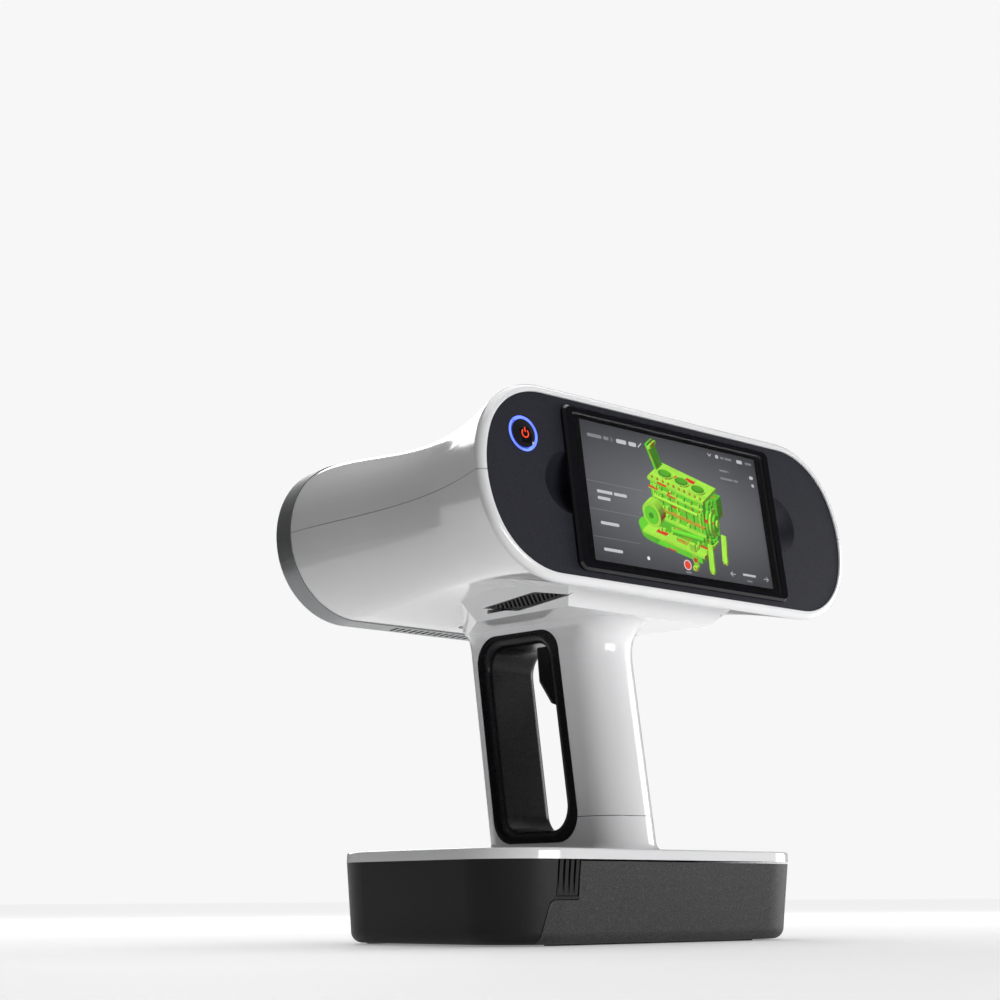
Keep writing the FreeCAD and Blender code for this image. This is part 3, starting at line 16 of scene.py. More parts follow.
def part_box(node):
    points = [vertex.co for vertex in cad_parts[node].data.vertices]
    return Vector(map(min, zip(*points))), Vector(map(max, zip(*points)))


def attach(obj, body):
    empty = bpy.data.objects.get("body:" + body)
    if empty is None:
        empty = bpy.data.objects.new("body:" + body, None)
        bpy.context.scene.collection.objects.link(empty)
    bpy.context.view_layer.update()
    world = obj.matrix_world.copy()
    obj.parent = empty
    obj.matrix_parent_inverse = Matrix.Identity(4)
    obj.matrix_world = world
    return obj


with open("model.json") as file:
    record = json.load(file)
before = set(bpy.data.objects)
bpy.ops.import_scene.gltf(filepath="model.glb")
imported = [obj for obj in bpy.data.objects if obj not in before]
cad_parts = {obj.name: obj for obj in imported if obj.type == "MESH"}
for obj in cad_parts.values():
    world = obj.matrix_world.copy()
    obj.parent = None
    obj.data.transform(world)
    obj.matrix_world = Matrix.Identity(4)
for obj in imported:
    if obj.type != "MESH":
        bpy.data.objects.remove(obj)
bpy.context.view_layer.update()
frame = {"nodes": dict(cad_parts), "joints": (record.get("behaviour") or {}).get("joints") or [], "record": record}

MM = 0.001
nodes = frame["nodes"]

# ---------------------------------------------------------------------------
# Procedural materials
# ---------------------------------------------------------------------------


class Finish:
    """One node material, its Principled shader and short ways to drive it."""

    def __init__(self, name, **constants):
        self.material = bpy.data.materials.new(name)
        self.material.use_nodes = True
        self.tree = self.material.node_tree
        self.shader = self.tree.nodes["Principled BSDF"]
        self.coords = self.tree.nodes.new("ShaderNodeTexCoord")
        for key, number in constants.items():
            self.shader.inputs[key.replace("_", " ")].default_value = number

    def link(self, output, target):
        self.tree.links.new(output, self.shader.inputs[target] if isinstance(target, str) else target)

    def noise(self, per_metre, detail=2.0, stretch=(1, 1, 1), contrast=None):
        """A noise value; contrast is a pair of noise levels that become 0 and 1."""
        mapping = self.tree.nodes.new("ShaderNodeMapping")
        mapping.inputs["Scale"].default_value = stretch
        self.tree.links.new(self.coords.outputs["Object"], mapping.inputs["Vector"])
        texture = self.tree.nodes.new("ShaderNodeTexNoise")
        texture.inputs["Scale"].default_value = per_metre
        texture.inputs["Detail"].default_value = detail
        self.tree.links.new(mapping.outputs["Vector"], texture.inputs["Vector"])
        if contrast is None:
            return texture.outputs["Fac"]
        return self.spread(texture.outputs["Fac"], contrast, (0.0, 1.0))

    def cells(self, per_metre, feature="F1"):
        texture = self.tree.nodes.new("ShaderNodeTexVoronoi")
        texture.feature = feature
        texture.inputs["Scale"].default_value = per_metre
        self.tree.links.new(self.coords.outputs["Object"], texture.inputs["Vector"])
        return texture.outputs["Distance"]

    def spread(self, value, source, target):
        node = self.tree.nodes.new("ShaderNodeMapRange")
        node.inputs["From Min"].default_value = source[0]
        node.inputs["From Max"].default_value = source[1]
        node.inputs["To Min"].default_value = target[0]
        node.inputs["To Max"].default_value = target[1]
        self.tree.links.new(value, node.inputs["Value"])
        return node.outputs["Result"]

    def ramp(self, value, *stops):
        """A colour along value: each stop is (position, (r, g, b))."""
        node = self.tree.nodes.new("ShaderNodeValToRGB")
        elements = node.color_ramp.elements
        while len(elements) < len(stops):
            elements.new(0.5)
        for element, (position, colour) in zip(elements, stops):
            element.position = position
            element.color = (*colour, 1.0)
        self.tree.links.new(value, node.inputs["Fac"])
        return node.outputs["Color"]

    def bump(self, value, depth_mm, strength=1.0, after=None):
        node = self.tree.nodes.new("ShaderNodeBump")
        node.inputs["Strength"].default_value = strength
        node.inputs["Distance"].default_value = depth_mm * MM
        self.tree.links.new(value, node.inputs["Height"])
        if after is not None:
            self.tree.links.new(after, node.inputs["Normal"])
        self.link(node.outputs["Normal"], "Normal")
        return node.outputs["Normal"]


def shade(colour, factor):
    return tuple(part * factor for part in colour)


def gloss_finish(name, colour, rough, ripple_mm, drift=0.03, **constants):
    """Sprayed or polished plastic: slow colour drift, faint ripple, handling haze."""
    finish = Finish(name, **constants)
    slow = finish.noise(28, 3)
    finish.link(finish.ramp(slow, (0.3, shade(colour, 1 - drift)), (0.7, colour)), "Base Color")
    haze = finish.noise(90, 4, contrast=(0.35, 0.75))
    finish.link(finish.spread(haze, (0, 1), rough), "Roughness")
    finish.bump(finish.noise(420, 1), ripple_mm, 0.3)
    return finish.material


def grain_finish(name, dark, light, rough, grains_per_metre, depth_mm, flecks=(0.45, 0.75), **constants):
    """Textured moulded plastic: a pitted grain with lighter flecks in it."""
    finish = Finish(name, **constants)
    grain = finish.noise(grains_per_metre, 2.5)
    fleck = finish.noise(grains_per_metre * 1.6, 1, contrast=flecks)
    finish.link(finish.ramp(fleck, (0.0, dark), (1.0, light)), "Base Color")
    finish.link(finish.spread(grain, (0.3, 0.7), rough), "Roughness")
    finish.bump(grain, depth_mm, 0.6)
    return finish.material


def brushed_finish(name, colour, rough, stretch, **constants):
    finish = Finish(name, Metallic=1.0, **constants)
    lines = finish.noise(900, 2, stretch)
    finish.link(finish.ramp(lines, (0.3, shade(colour, 0.86)), (0.7, colour)), "Base Color")
    finish.link(finish.spread(lines, (0.3, 0.7), rough), "Roughness")
    finish.bump(lines, 0.01, 0.3)
    return finish.material


def white_shell():
    return gloss_finish("white_gloss_shell", (0.82, 0.82, 0.83), (0.09, 0.17), 0.004, 0.02,
                        Coat_Weight=0.35, Coat_Roughness=0.04)


def ring_paint():
    finish = Finish("ring_satin_metal", Metallic=0.62)
    flake = finish.noise(5200, 1, contrast=(0.4, 0.8))
    finish.link(finish.ramp(flake, (0.0, (0.235, 0.24, 0.245)), (1.0, (0.36, 0.365, 0.37))), "Base Color")
    finish.link(finish.spread(finish.noise(800, 3), (0.3, 0.7), (0.3, 0.4)), "Roughness")
    finish.bump(flake, 0.006, 0.25)
    return finish.material


def circuit_board():
    finish = Finish("circuit_board_mask", Roughness=0.45)
    tracks = finish.cells(330, "DISTANCE_TO_EDGE")
    colour = finish.ramp(tracks, (0.0, (0.02, 0.16, 0.08)), (0.05, (0.012, 0.085, 0.045)),
                         (1.0, (0.01, 0.07, 0.04)))
    finish.link(colour, "Base Color")
    finish.bump(tracks, 0.03, 0.4)
    return finish.material


def glow(name, colour, low, high, per_metre):
    """A lit light guide, brighter where its hidden LEDs stand."""
    finish = Finish(name, Roughness=0.35)
    finish.shader.inputs["Base Color"].default_value = (*shade(colour, 0.3), 1)
    finish.shader.inputs["Emission Color"].default_value = (*colour, 1)
    finish.link(finish.spread(finish.noise(per_metre, 1), (0.3, 0.7), (low, high)), "Emission Strength")
    return finish.material


def clear_glass(name, tint, ior, smudge):
    finish = Finish(name, Transmission_Weight=1.0, IOR=ior)
    finish.shader.inputs["Base Color"].default_value = (*tint, 1)
    finish.link(finish.spread(finish.noise(120, 4), (0.4, 0.8), smudge), "Roughness")
    return finish.material


def screen_ground():
    """The lit picture's grey ground, lighter in the middle than in its corners."""
    finish = Finish("screen_picture_ground", Roughness=0.5)
    finish.shader.inputs["Base Color"].default_value = (0.004, 0.004, 0.005, 1)
    finish.shader.inputs["Emission Strength"].default_value = 1.0
    mapping = finish.tree.nodes.new("ShaderNodeMapping")
    mapping.inputs["Location"].default_value = (-0.5, -0.5, -0.5)
    finish.tree.links.new(finish.coords.outputs["Generated"], mapping.inputs["Vector"])
    length = finish.tree.nodes.new("ShaderNodeVectorMath")
    length.operation = "LENGTH"
    finish.tree.links.new(mapping.outputs["Vector"], length.inputs[0])
    colour = finish.ramp(length.outputs["Value"], (0.0, (0.2, 0.2, 0.215)), (0.35, (0.13, 0.13, 0.14)),
                         (0.8, (0.05, 0.05, 0.056)))
    finish.link(colour, "Emission Color")
    return finish.material


def painted_light():
    """Lit marks on the screen, each face with its own colour in the attribute tint."""
    finish = Finish("screen_picture_marks", Roughness=0.5)
    finish.shader.inputs["Base Color"].default_value = (0.004, 0.004, 0.005, 1)
    finish.shader.inputs["Emission Strength"].default_value = 1.0
    attribute = finish.tree.nodes.new("ShaderNodeAttribute")
    attribute.attribute_name = "tint"
    finish.link(attribute.outputs["Color"], "Emission Color")
    return finish.material


def led_lens():
    finish = Finish("flash_led_lens", Roughness=0.12, Transmission_Weight=0.35, IOR=1.5)
    dots = finish.cells(900)
    finish.link(finish.ramp(dots, (0.0, (0.95, 0.8, 0.25)), (0.6, (0.9, 0.88, 0.7))), "Base Color")
    return finish.material


SLOT_FINISH = {
    "white_shell": white_shell(),
    "ring_metal": ring_paint(),
    "front_panel": gloss_finish("front_panel_gloss", (0.010, 0.010, 0.012), (0.06, 0.14), 0.002, 0.2,
                                Specular_IOR_Level=0.35),
    "aluminium": brushed_finish("machined_aluminium", (0.72, 0.73, 0.75), (0.28, 0.42), (1, 12, 12)),
    "circuit_board": circuit_board(),
    "led_lens": led_lens(),
    "screen_panel": grain_finish("screen_panel_speckle", (0.008, 0.0084, 0.014), (0.027, 0.028, 0.041),
                                 (0.48, 0.66), 2300, 0.05, Specular_IOR_Level=0.22),
    "frame_black": gloss_finish("display_frame_gloss", (0.006, 0.006, 0.008), (0.05, 0.12), 0.002, 0.2),
    "display_glass": clear_glass("display_cover_glass", (0.97, 0.98, 1.0), 1.5, (0.0, 0.03)),
    "display_module": grain_finish("display_module_black", (0.006, 0.006, 0.007), (0.012, 0.012, 0.013),
                                   (0.4, 0.6), 1500, 0.02),
    "light_ring": glow("power_ring_light", (0.10, 0.16, 1.0), 1.6, 2.6, 160),
    "button_cap": gloss_finish("power_cap_gloss", (0.005, 0.005, 0.009), (0.05, 0.11), 0.001, 0.2,
                               Coat_Weight=0.6, Coat_Roughness=0.02),
    "inner_black": grain_finish("inner_moulded_black", (0.02, 0.02, 0.02), (0.035, 0.035, 0.035),
                                (0.5, 0.65), 1600, 0.03),
    "soft_black": grain_finish("soft_touch_black", (0.003, 0.0026, 0.0038), (0.006, 0.0054, 0.0074),
                               (0.24, 0.34), 2600, 0.012, Specular_IOR_Level=0.25),
    "steel": brushed_finish("turned_steel", (0.6, 0.6, 0.61), (0.22, 0.36), (6, 6, 1)),
    "base_black": grain_finish("base_moulded_black", (0.007, 0.007, 0.007), (0.014, 0.014, 0.014),
                               (0.38, 0.5), 2600, 0.02, Specular_IOR_Level=0.25),
    "battery_grain": grain_finish("battery_sparkle_grain", (0.016, 0.0155, 0.0155), (0.075, 0.072, 0.072),
                                  (0.42, 0.66), 1700, 0.09, Specular_IOR_Level=0.35),
    "cell_wrap": gloss_finish("cell_wrap_film", (0.03, 0.2, 0.22), (0.2, 0.34), 0.01, 0.2),
    "rubber": grain_finish("foot_rubber", (0.012, 0.012, 0.012), (0.022, 0.022, 0.022),
                           (0.7, 0.9), 1800, 0.03),
    "vent_black": grain_finish("vent_moulded_black", (0.011, 0.011, 0.012), (0.024, 0.024, 0.025),
                               (0.42, 0.58), 2400, 0.02),
    "lens_barrel": grain_finish("lens_barrel_black", (0.008, 0.008, 0.009), (0.018, 0.018, 0.019),
                                (0.32, 0.48), 2800, 0.01),
    "lens_glass": clear_glass("lens_front_glass", (0.55, 0.5, 0.8), 1.6, (0.0, 0.01)),
}


def dress_cad_nodes():
    """Gives every CAD node the finish of its slot in the record."""
    for part in frame["record"]["subparts"]:
        node = nodes[part["node"]]
        node.data.materials.clear()
        node.data.materials.append(SLOT_FINISH[part["material_slot"]])


dress_cad_nodes()

# ---------------------------------------------------------------------------
# Mesh helpers
# ---------------------------------------------------------------------------


class Plane:
    """A leaning face: x to its right, y up it and z out of it, all in millimetres."""

    def __init__(self, origin, right, out):
        self.origin = Vector(origin)
        self.x = Vector(right).normalized()
        self.z = Vector(out).normalized()
        self.y = self.z.cross(self.x)

    def at(self, x, y, z=0.0):
        return self.origin + (self.x * x + self.y * y + self.z * z) * MM


def centre(node):
    low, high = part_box(node)
    return (low + high) / 2


def joint(name):
    return next(item for item in frame["joints"] if item["name"] == name)


def make_piece(name, mesh, material, body, smooth_angle=None):
    """Turns a bmesh into an object that rides on a body and takes a slot's finish."""
    bmesh.ops.recalc_face_normals(mesh, faces=mesh.faces)
    data = bpy.data.meshes.new(name)
    mesh.to_mesh(data)
    mesh.free()
    data.materials.append(material)
    thing = bpy.data.objects.new(name, data)
    bpy.context.scene.collection.objects.link(thing)
    if smooth_angle is not None:
        for polygon in data.polygons:
            polygon.use_smooth = True
        data.set_sharp_from_angle(angle=math.radians(smooth_angle))
    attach(thing, body)
    return thing


def rounded_box(width, height, radius, steps=6, x=0.0, y=0.0):
    """The corners of a rounded rectangle round (x, y), anticlockwise."""
    points = []
    for index, (across, up) in enumerate(((1, 1), (-1, 1), (-1, -1), (1, -1))):
        for step in range(steps + 1):
            angle = math.pi / 2 * (index + step / steps)
            points.append((x + across * (width / 2 - radius) + radius * math.cos(angle),
                           y + up * (height / 2 - radius) + radius * math.sin(angle)))
    return points


def disc(radius, x=0.0, y=0.0, steps=32):
    angles = [2 * math.pi * step / steps for step in range(steps)]
    return [(x + radius * math.cos(angle), y + radius * math.sin(angle)) for angle in angles]


def slab(mesh, plane, outline, low, high, hole=None):
    """A plate on a plane between two heights, with an opening of as many corners if hole is given."""
    rows = []
    for ring in (outline, hole):
        if ring is None:
            continue
        rows.append([[mesh.verts.new(plane.at(x, y, height)) for x, y in ring] for height in (low, high)])
    count = len(outline)
    made = []
    for ring in rows:
        for index in range(count):
            after = (index + 1) % count
            made.append(mesh.faces.new((ring[0][index], ring[0][after], ring[1][after], ring[1][index])))
    for level in (0, 1):
        if hole is None:
            made.append(mesh.faces.new(rows[0][level]))
            continue
        for index in range(count):
            after = (index + 1) % count
            made.append(mesh.faces.new((rows[0][level][index], rows[0][level][after],
                                        rows[1][level][after], rows[1][level][index])))
    return made


# the screen plane is the rear face of the cover glass, which is 1 mm thick
HALF_GLASS = 0.5
PRESS_AXIS = Vector(joint("power_button_press")["axis"])
SCREEN = Plane(centre("display_glass") + PRESS_AXIS * HALF_GLASS * MM, (1, 0, 0), -PRESS_AXIS)

# ---------------------------------------------------------------------------
# The screen's picture, under the cover glass
# ---------------------------------------------------------------------------

PICTURE_WIDTH = 112.7
PICTURE_HEIGHT = 63.4
PICTURE_BACK = -0.33
PICTURE_FRONT = -0.04

GREEN = (0.15, 0.74, 0.03)
LIME = (0.42, 0.9, 0.06)
RED = (0.85, 0.02, 0.02)
AMBER = (0.62, 0.35, 0.03)
PALE = (0.62, 0.62, 0.64)
DIM = (0.26, 0.26, 0.27)


def build_screen_ground():
    mesh = bmesh.new()
    slab(mesh, SCREEN, rounded_box(PICTURE_WIDTH, PICTURE_HEIGHT, 0.4, 2), PICTURE_BACK, PICTURE_BACK + 0.02)
    make_piece("screen_picture", mesh, screen_ground(), "scanner_body")
    border = bmesh.new()
    outer = rounded_box(121.6, 67.2, 1.0, 2)
    inner = rounded_box(PICTURE_WIDTH, PICTURE_HEIGHT, 0.4, 2)
    slab(border, SCREEN, outer, -0.03, -0.01, inner)
    make_piece("screen_border", border, SLOT_FINISH["frame_black"], "scanner_body")


class Picture:
    """A mesh whose faces each carry a colour."""

    def __init__(self):
        self.mesh = bmesh.new()
        self.tint = self.mesh.loops.layers.float_color.new("tint")

    def colour(self, faces, colour):
        for face in faces:
            for loop in face.loops:
                loop[self.tint] = (*colour, 1.0)

    def plate(self, outline, colour, low=-0.1, high=PICTURE_FRONT, hole=None):
        self.colour(slab(self.mesh, SCREEN, outline, low, high, hole), colour)

    def bar(self, x, y, width, height, colour):
        """A rounded bar from x rightwards, centred on y."""
        self.plate(rounded_box(width, height, height * 0.3, 2, x + width / 2, y), colour)

    def stroke(self, points, width, colour):
        for (x0, y0), (x1, y1) in zip(points, points[1:]):
            along = Vector((x1 - x0, y1 - y0)).normalized() * (width / 2)
            side = Vector((-along.y, along.x))
            corners = [(x0 - along.x + side.x, y0 - along.y + side.y),
                       (x0 - along.x - side.x, y0 - along.y - side.y),
                       (x1 + along.x - side.x, y1 + along.y - side.y),
                       (x1 + along.x + side.x, y1 + along.y + side.y)]
            self.plate(corners, colour)


def word_bars(picture, x, y, lengths, height, colour):
    """A row of plain bars where an interface would have a word or two."""
    for length in lengths:
        picture.bar(x, y, length, height, colour)
        x += length + height * 0.8


def build_screen_marks():
    picture = Picture()
    word_bars(picture, -52.5, 25.2, (8.5, 3.0), 1.5, DIM)
    picture.stroke([(-38.2, 26.0), (-37.4, 25.2), (-38.2, 24.4)], 0.35, DIM)
    word_bars(picture, -35.0, 25.2, (6.0, 4.6), 1.9, PALE)
    picture.stroke([(-21.6, 24.6), (-19.8, 26.4)], 0.5, PALE)
    for lift in (4.0, -8.6, -21.0):
        picture.bar(-56.0, lift, 33.0 + lift * 0.25, 0.16, DIM)
    word_bars(picture, -50.6, -0.2, (9.0, 7.6), 1.35, PALE)
    word_bars(picture, -50.6, -3.2, (7.4,), 1.35, PALE)
    word_bars(picture, -50.6, -14.4, (10.8,), 1.35, PALE)
    word_bars(picture, -50.6, -26.2, (11.0,), 1.35, PALE)
    picture.stroke([(-26.2, -6.0), (-25.6, -6.6), (-26.2, -7.2)], 0.25, DIM)
    picture.plate(disc(0.85, -24.2, -27.0), (0.9, 0.9, 0.9))
    for index, lift in enumerate((22.2, 18.4)):
        word_bars(picture, 30.5, lift, (5.2 + index * 3.2, 2.6 * index + 0.1), 0.9, DIM)
        word_bars(picture, 51.0 + index * 0.8, lift - 0.4, (2.4 - index * 0.8,), 1.5, PALE)
    picture.stroke([(24.0, 29.3), (25.0, 28.2), (26.0, 29.3)], 0.4, PALE)
    picture.bar(29.0, 28.7, 2.0, 1.7, PALE)
    word_bars(picture, 32.4, 28.6, (2.2, 4.6), 1.0, DIM)
    picture.plate(rounded_box(3.6, 1.7, 0.3, 2, 45.4, 28.6), PALE)
    word_bars(picture, 49.4, 28.6, (4.2,), 1.0, DIM)
    picture.plate(disc(2.35, 0.2, -27.0), (0.9, 0.9, 0.9), hole=disc(2.0, 0.2, -27.0))
    picture.plate(disc(1.95, 0.2, -27.0), (0.9, 0.06, 0.03))
    picture.bar(-1.4, -30.4, 3.4, 0.7, DIM)
    for side, tip in ((-1, 28.2), (1, 53.6)):
        picture.stroke([(tip - side * 3.0, -27.6), (tip, -27.6)], 0.3, PALE)
        picture.stroke([(tip - side * 1.2, -26.6), (tip, -27.6), (tip - side * 1.2, -28.6)], 0.3, PALE)
    word_bars(picture, 36.4, -27.0, (8.6,), 1.0, PALE)
    word_bars(picture, 38.8, -29.8, (3.4,), 0.8, DIM)
    make_piece("screen_marks", picture.mesh, MARKS, "scanner_body")


class Casting:
    """A machined casting, drawn shaded and pressed flat into the screen's picture.

    It is modelled in millimetres of the picture, with x along the casting, y away
    from the viewer and z up, then turned to a three-quarter view.
    """

    VIEW = Matrix.Rotation(math.radians(24), 3, "X") @ Matrix.Rotation(math.radians(-27), 3, "Z")
    LIGHT = Vector((-0.35, -0.62, 0.70)).normalized()
    DEPTH_RANGE = 60.0

    def __init__(self):
        self.mesh = bmesh.new()
        self.tint = self.mesh.loops.layers.float_color.new("tint")
        self.done = self.mesh.faces.layers.int.new("done")

    def add(self, colour):
        """Colours new faces by how they face the light, with patches that scanned badly in red."""
        self.mesh.normal_update()
        for face in self.mesh.faces:
            if face[self.done]:
                continue
            face[self.done] = 1
            light = max(0.0, face.normal.dot(self.LIGHT)) * 0.95 + 0.30
            spot = face.calc_center_median()
            patch = noise.noise(spot * 0.42) + 0.35 * noise.noise(spot * 1.3)
            base = RED if patch > 0.52 else AMBER if patch > 0.44 else colour
            grain = 1.0 + 0.16 * noise.noise(spot * 0.9)
            for loop in face.loops:
                loop[self.tint] = (*shade(base, light * grain), 1.0)

    def box(self, at, size, colour=GREEN, turn_by=None, cuts=5):
        turned = turn_by.to_4x4() if turn_by else Matrix.Identity(4)
        matrix = Matrix.Translation(at) @ turned @ Matrix.Diagonal((*size, 1.0))
        made = bmesh.ops.create_cube(self.mesh, size=1.0, matrix=matrix)
        edges = list({edge for vert in made["verts"] for edge in vert.link_edges})
        bmesh.ops.subdivide_edges(self.mesh, edges=edges, cuts=cuts, use_grid_fill=True)
        self.add(colour)

    def drum(self, at, radius, length, direction, colour=GREEN, far_radius=None, steps=28):
        turned = Vector((0, 0, 1)).rotation_difference(Vector(direction)).to_matrix().to_4x4()
        bmesh.ops.create_cone(self.mesh, cap_ends=True, segments=steps, radius1=radius,
                              radius2=radius if far_radius is None else far_radius, depth=length,
                              matrix=Matrix.Translation(at) @ turned)
        self.add(colour)

    def press(self):
        """Turns the casting to its view and flattens it between the picture and the glass."""
        low, high = PICTURE_BACK + 0.03, -0.12
        for vert in self.mesh.verts:
            seen = self.VIEW @ vert.co
            depth = max(0.0, min(1.0, 0.5 - seen.y / self.DEPTH_RANGE))
            vert.co = SCREEN.at(seen.x + 4.0, seen.z - 3.4, low + (high - low) * depth)


def build_scanned_part():
    part = Casting()
    random.seed(7)
    block_x, block_y, block_z = 36.0, 21.0, 19.0
    front = -block_y / 2
    part.box((0, 0, 6), (block_x, block_y, block_z))
    part.box((0, 0, 16.2), (block_x + 2.4, block_y + 1.6, 1.6), LIME)
    for index in range(3):
        place = (-11.5 + 11.5 * index, -1.0, 17.2)
        part.drum(place, 5.0, 0.9, (0, 0, 1), LIME)
        part.drum((place[0], place[1], 17.75), 4.2, 0.2, (0, 0, 1), shade(GREEN, 0.42))
        part.drum((place[0], place[1] + 0.8, 17.9), 3.2, 0.1, (0, 0, 1), shade(GREEN, 0.62))
    for index in range(7):
        part.box((-15.5 + 5.2 * index, front - 0.8, 7.4), (1.0, 1.9, 14.4), LIME if index % 3 == 0 else GREEN)
    for lift in (-1.4, 3.2, 12.4):
        part.box((0, front - 1.1, lift), (block_x + 1.0, 2.4, 0.9), AMBER if lift == 3.2 else LIME)
    part.drum((-15.5, front - 4.6, 1.2), 6.1, 8.2, (0, 1, 0), LIME)
    part.drum((-15.5, front - 8.9, 1.2), 4.4, 0.9, (0, 1, 0), GREEN)
    part.drum((-15.5, front - 9.5, 1.2), 1.4, 0.9, (0, 1, 0), shade(GREEN, 0.5))
    side = block_x / 2
    for radius, reach, colour in ((8.6, 1.6, GREEN), (7.0, 3.0, LIME), (4.4, 4.4, GREEN), (2.0, 5.6, LIME)):
        part.drum((side + reach / 2, -1.0, 3.4), radius, reach, (1, 0, 0), colour)
    part.box((side + 2.2, 6.4, 9.4), (4.6, 8.0, 10.0), shade(GREEN, 0.8))
    part.box((-side - 2.0, 5.0, 20.5), (1.6, 9.0, 17.0), GREEN, Matrix.Rotation(math.radians(-24), 3, "Y"))
    part.box((-side - 3.4, 5.0, 27.2), (2.4, 9.6, 1.5), LIME, Matrix.Rotation(math.radians(-24), 3, "Y"))
    part.box((0, 1.5, -6.4), (block_x - 2.0, block_y - 2.0, 6.6), shade(GREEN, 0.8))
    part.box((-4, -3.0, -11.2), (block_x + 6.0, block_y + 4.0, 1.2), LIME)
    part.box((-4, -3.0, -13.6), (block_x, block_y, 4.2), GREEN)
    part.drum((-side - 2.0, -3.0, -13.4), block_y / 2 + 0.6, 4.0, (0, 0, 1), GREEN,
              far_radius=block_y / 2 + 1.6)
    for x, y, lean in ((9.0, front - 3.0, 16), (19.0, front + 1.5, -8), (21.5, 7.5, -14)):
        part.box((x, y, -12.6), (3.6, 1.8, 13.0), LIME, Matrix.Rotation(math.radians(lean), 3, "X"), 4)
        part.box((x, y - 0.6, -19.2), (2.8, 3.2, 1.8), LIME, None, 2)
    for index in range(46):
        x = random.uniform(-side, side)
        lift = random.choice((-9.0, -7.6, -5.0, 0.6, 5.2, 9.8, 14.2))
        size = random.uniform(0.7, 1.9)
        part.box((x, front - random.uniform(1.0, 2.4), lift), (size, size * 1.2, size), LIME, None, 1)
    for index in range(30):
        y = random.uniform(-9.0, 9.0)
        size = random.uniform(0.8, 2.4)
        lift = random.uniform(-8.0, 15.0)
        part.box((side + random.uniform(0.6, 2.6), y, lift), (size, size, size), GREEN, None, 1)
    for index in range(10):
        part.drum((-16.5 + 3.7 * index, front + 0.4, 17.4), 0.7, 1.2, (0, 0, 1), AMBER, steps=10)
    part.drum((0, front - 2.6, 9.2), 0.9, 30.0, (1, 0, 0), LIME, steps=12)
    part.drum((7.0, front - 3.4, -3.6), 1.3, 22.0, (1, 0, 0.12), GREEN, steps=12)
    part.press()
    make_piece("screen_scanned_part", part.mesh, MARKS, "scanner_body")


MARKS = painted_light()
build_screen_ground()
build_screen_marks()
build_scanned_part()

# ---------------------------------------------------------------------------
# Power symbol on the button cap
# ---------------------------------------------------------------------------

SYMBOL_LOW = 0.38
SYMBOL_HIGH = 0.70


def build_power_symbol():
    """A broken ring and a stroke, moulded into the cap and lit from behind."""
    finish = glow("power_symbol_light", (1.0, 0.07, 0.012), 0.8, 1.1, 400)
    place = centre("power_light_ring") - SCREEN.origin
    x, y = place.dot(SCREEN.x) / MM, place.dot(SCREEN.y) / MM
    radius, half_width, gap, steps = 1.75, 0.27, math.radians(38), 40
    outline = []
    there, back = range(steps + 1), range(steps, -1, -1)
    for reach, order in ((radius + half_width, there), (radius - half_width, back)):
        for step in order:
            angle = math.pi / 2 + gap + (2 * math.pi - 2 * gap) * step / steps
            outline.append((x + reach * math.cos(angle), y - 0.35 + reach * math.sin(angle)))
    mesh = bmesh.new()
    slab(mesh, SCREEN, outline, SYMBOL_LOW, SYMBOL_HIGH)
    slab(mesh, SCREEN, rounded_box(0.54, 2.3, 0.26, 4, x, y + 1.25), SYMBOL_LOW, SYMBOL_HIGH)
    make_piece("power_symbol", mesh, finish, "power_button")


build_power_symbol()

# ---------------------------------------------------------------------------
# Camera, floor and studio light
# ---------------------------------------------------------------------------

CAMERA_PLACE = (-0.5958, -0.6389, 0.0180)
CAMERA_YAW = -45.22
CAMERA_PITCH = 12.86
CAMERA_ROLL = -0.32
CAMERA_LENS = 68.27
CAMERA_SHIFT = (-0.1369, -0.0332)
FLOOR_SIZE = 60.0


def build_camera():
    data = bpy.data.cameras.new("camera")
    data.lens = CAMERA_LENS
    data.shift_x, data.shift_y = CAMERA_SHIFT
    data.clip_start = 0.01
    camera = bpy.data.objects.new("camera", data)
    bpy.context.scene.collection.objects.link(camera)
    turn_left = Matrix.Rotation(math.radians(CAMERA_YAW), 4, "Z")
    look_up = Matrix.Rotation(math.radians(90 + CAMERA_PITCH), 4, "X")
    roll = Matrix.Rotation(math.radians(CAMERA_ROLL), 4, "Z")
    camera.matrix_world = Matrix.Translation(CAMERA_PLACE) @ turn_left @ look_up @ roll
    bpy.context.scene.camera = camera


def card(name, place, target, width, height, material):
    """A flat studio card at place that faces target."""
    mesh = bmesh.new()
    out = Vector(target) - Vector(place)
    right = Vector((0, 0, 1)).cross(out)
    plane = Plane(place, right, out)
    corners = rounded_box(width / MM, height / MM, 0.001 / MM, 1)
    mesh.faces.new([mesh.verts.new(plane.at(x, y)) for x, y in corners])
    data = bpy.data.meshes.new(name)
    mesh.to_mesh(data)
    mesh.free()
    data.materials.append(material)
    thing = bpy.data.objects.new(name, data)
    bpy.context.scene.collection.objects.link(thing)
    return thing


def soft_light(name, place, target, width, height, power, colour=(1, 1, 1)):
    data = bpy.data.lights.new(name, "AREA")
    data.shape = "RECTANGLE"
    data.size, data.size_y = width, height
    data.energy = power
    data.color = colour
    lamp = bpy.data.objects.new(name, data)
    bpy.context.scene.collection.objects.link(lamp)
    lamp.location = place
    lamp.rotation_mode = "QUATERNION"
    lamp.rotation_quaternion = (Vector(target) - Vector(place)).to_track_quat("-Z", "Y")
    return lamp


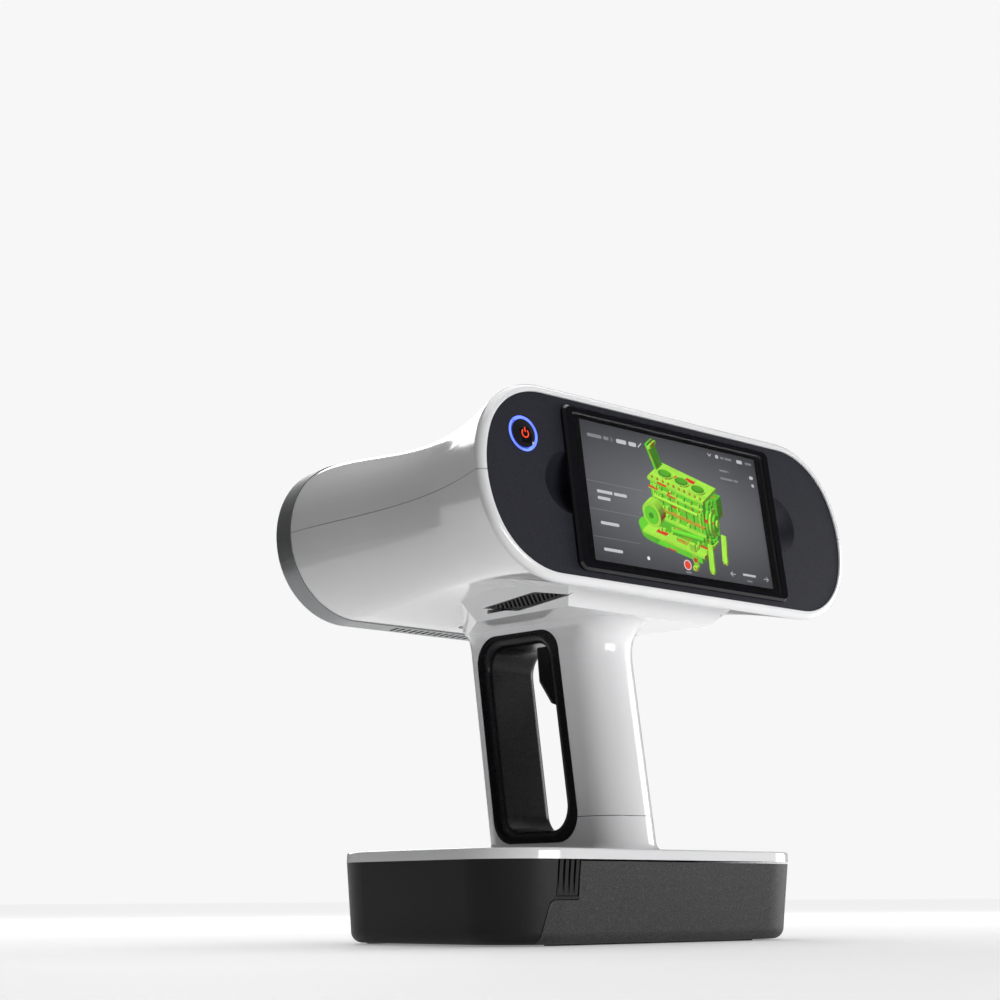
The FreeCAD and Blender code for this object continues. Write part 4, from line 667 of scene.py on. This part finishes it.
def build_floor():
    """A pale light table that glows more with distance, so its edge melts into the surroundings."""
    finish = Finish("studio_floor", Roughness=0.7)
    patches = finish.noise(3, 2)
    finish.link(finish.ramp(patches, (0.3, (0.68, 0.68, 0.68)), (0.7, (0.7, 0.7, 0.7))), "Base Color")
    finish.shader.inputs["Emission Color"].default_value = (1, 1, 1, 1)
    distance = finish.tree.nodes.new("ShaderNodeVectorMath")
    distance.operation = "LENGTH"
    finish.tree.links.new(finish.coords.outputs["Object"], distance.inputs[0])
    finish.link(finish.spread(distance.outputs["Value"], (0.25, 1.6), (0.24, 0.76)), "Emission Strength")
    card("studio_floor", (0, 0, 0), (0, 0.0001, 1), FLOOR_SIZE, FLOOR_SIZE, finish.material)


def build_world():
    """Pale surroundings, with less light from the sides than from above."""
    world = bpy.data.worlds.new("studio")
    bpy.context.scene.world = world
    world.use_nodes = True
    tree = world.node_tree
    seen = tree.nodes["Background"]
    seen.inputs["Color"].default_value = (0.93, 0.93, 0.93, 1)
    seen.inputs["Strength"].default_value = 1.0
    light = tree.nodes.new("ShaderNodeBackground")
    light.inputs["Color"].default_value = (1, 1, 1, 1)
    light.inputs["Strength"].default_value = 0.15
    path = tree.nodes.new("ShaderNodeLightPath")
    mix = tree.nodes.new("ShaderNodeMixShader")
    tree.links.new(path.outputs["Is Camera Ray"], mix.inputs["Fac"])
    tree.links.new(light.outputs["Background"], mix.inputs[1])
    tree.links.new(seen.outputs["Background"], mix.inputs[2])
    tree.links.new(mix.outputs["Shader"], tree.nodes["World Output"].inputs["Surface"])


def build_stage():
    build_camera()
    build_floor()
    build_world()
    middle = (0, 0, 0.13)
    soft_light("overhead_softbox", (0.1, 0.1, 1.25), middle, 1.3, 1.3, 12)
    soft_light("right_softbox", (1.3, -0.35, 0.25), middle, 0.7, 0.6, 8)
    soft_light("screen_side_softbox", (0.1, -1.4, 0.12), middle, 0.9, 0.3, 8)
    soft_light("lens_side_softbox", (0.5, 1.3, 0.6), middle, 1.0, 0.6, 6)
    black = Finish("black_card", Roughness=0.9)
    nap = black.noise(20)
    black.link(black.ramp(nap, (0.3, (0.01, 0.01, 0.01)), (0.7, (0.014, 0.014, 0.014))), "Base Color")
    for name, place, target, width, height in (
            ("left_black_card", (-0.40, 0.12, 0.22), (0, 0.08, 0.22), 0.95, 0.44),
            ("screen_black_card", (0.66, -0.72, 0.62), (0, -0.08, 0.187), 0.62, 0.5)):
        flag = card(name, place, target, width, height, black.material)
        flag.visible_camera = False
    bpy.context.scene.view_settings.view_transform = "Standard"


build_stage()
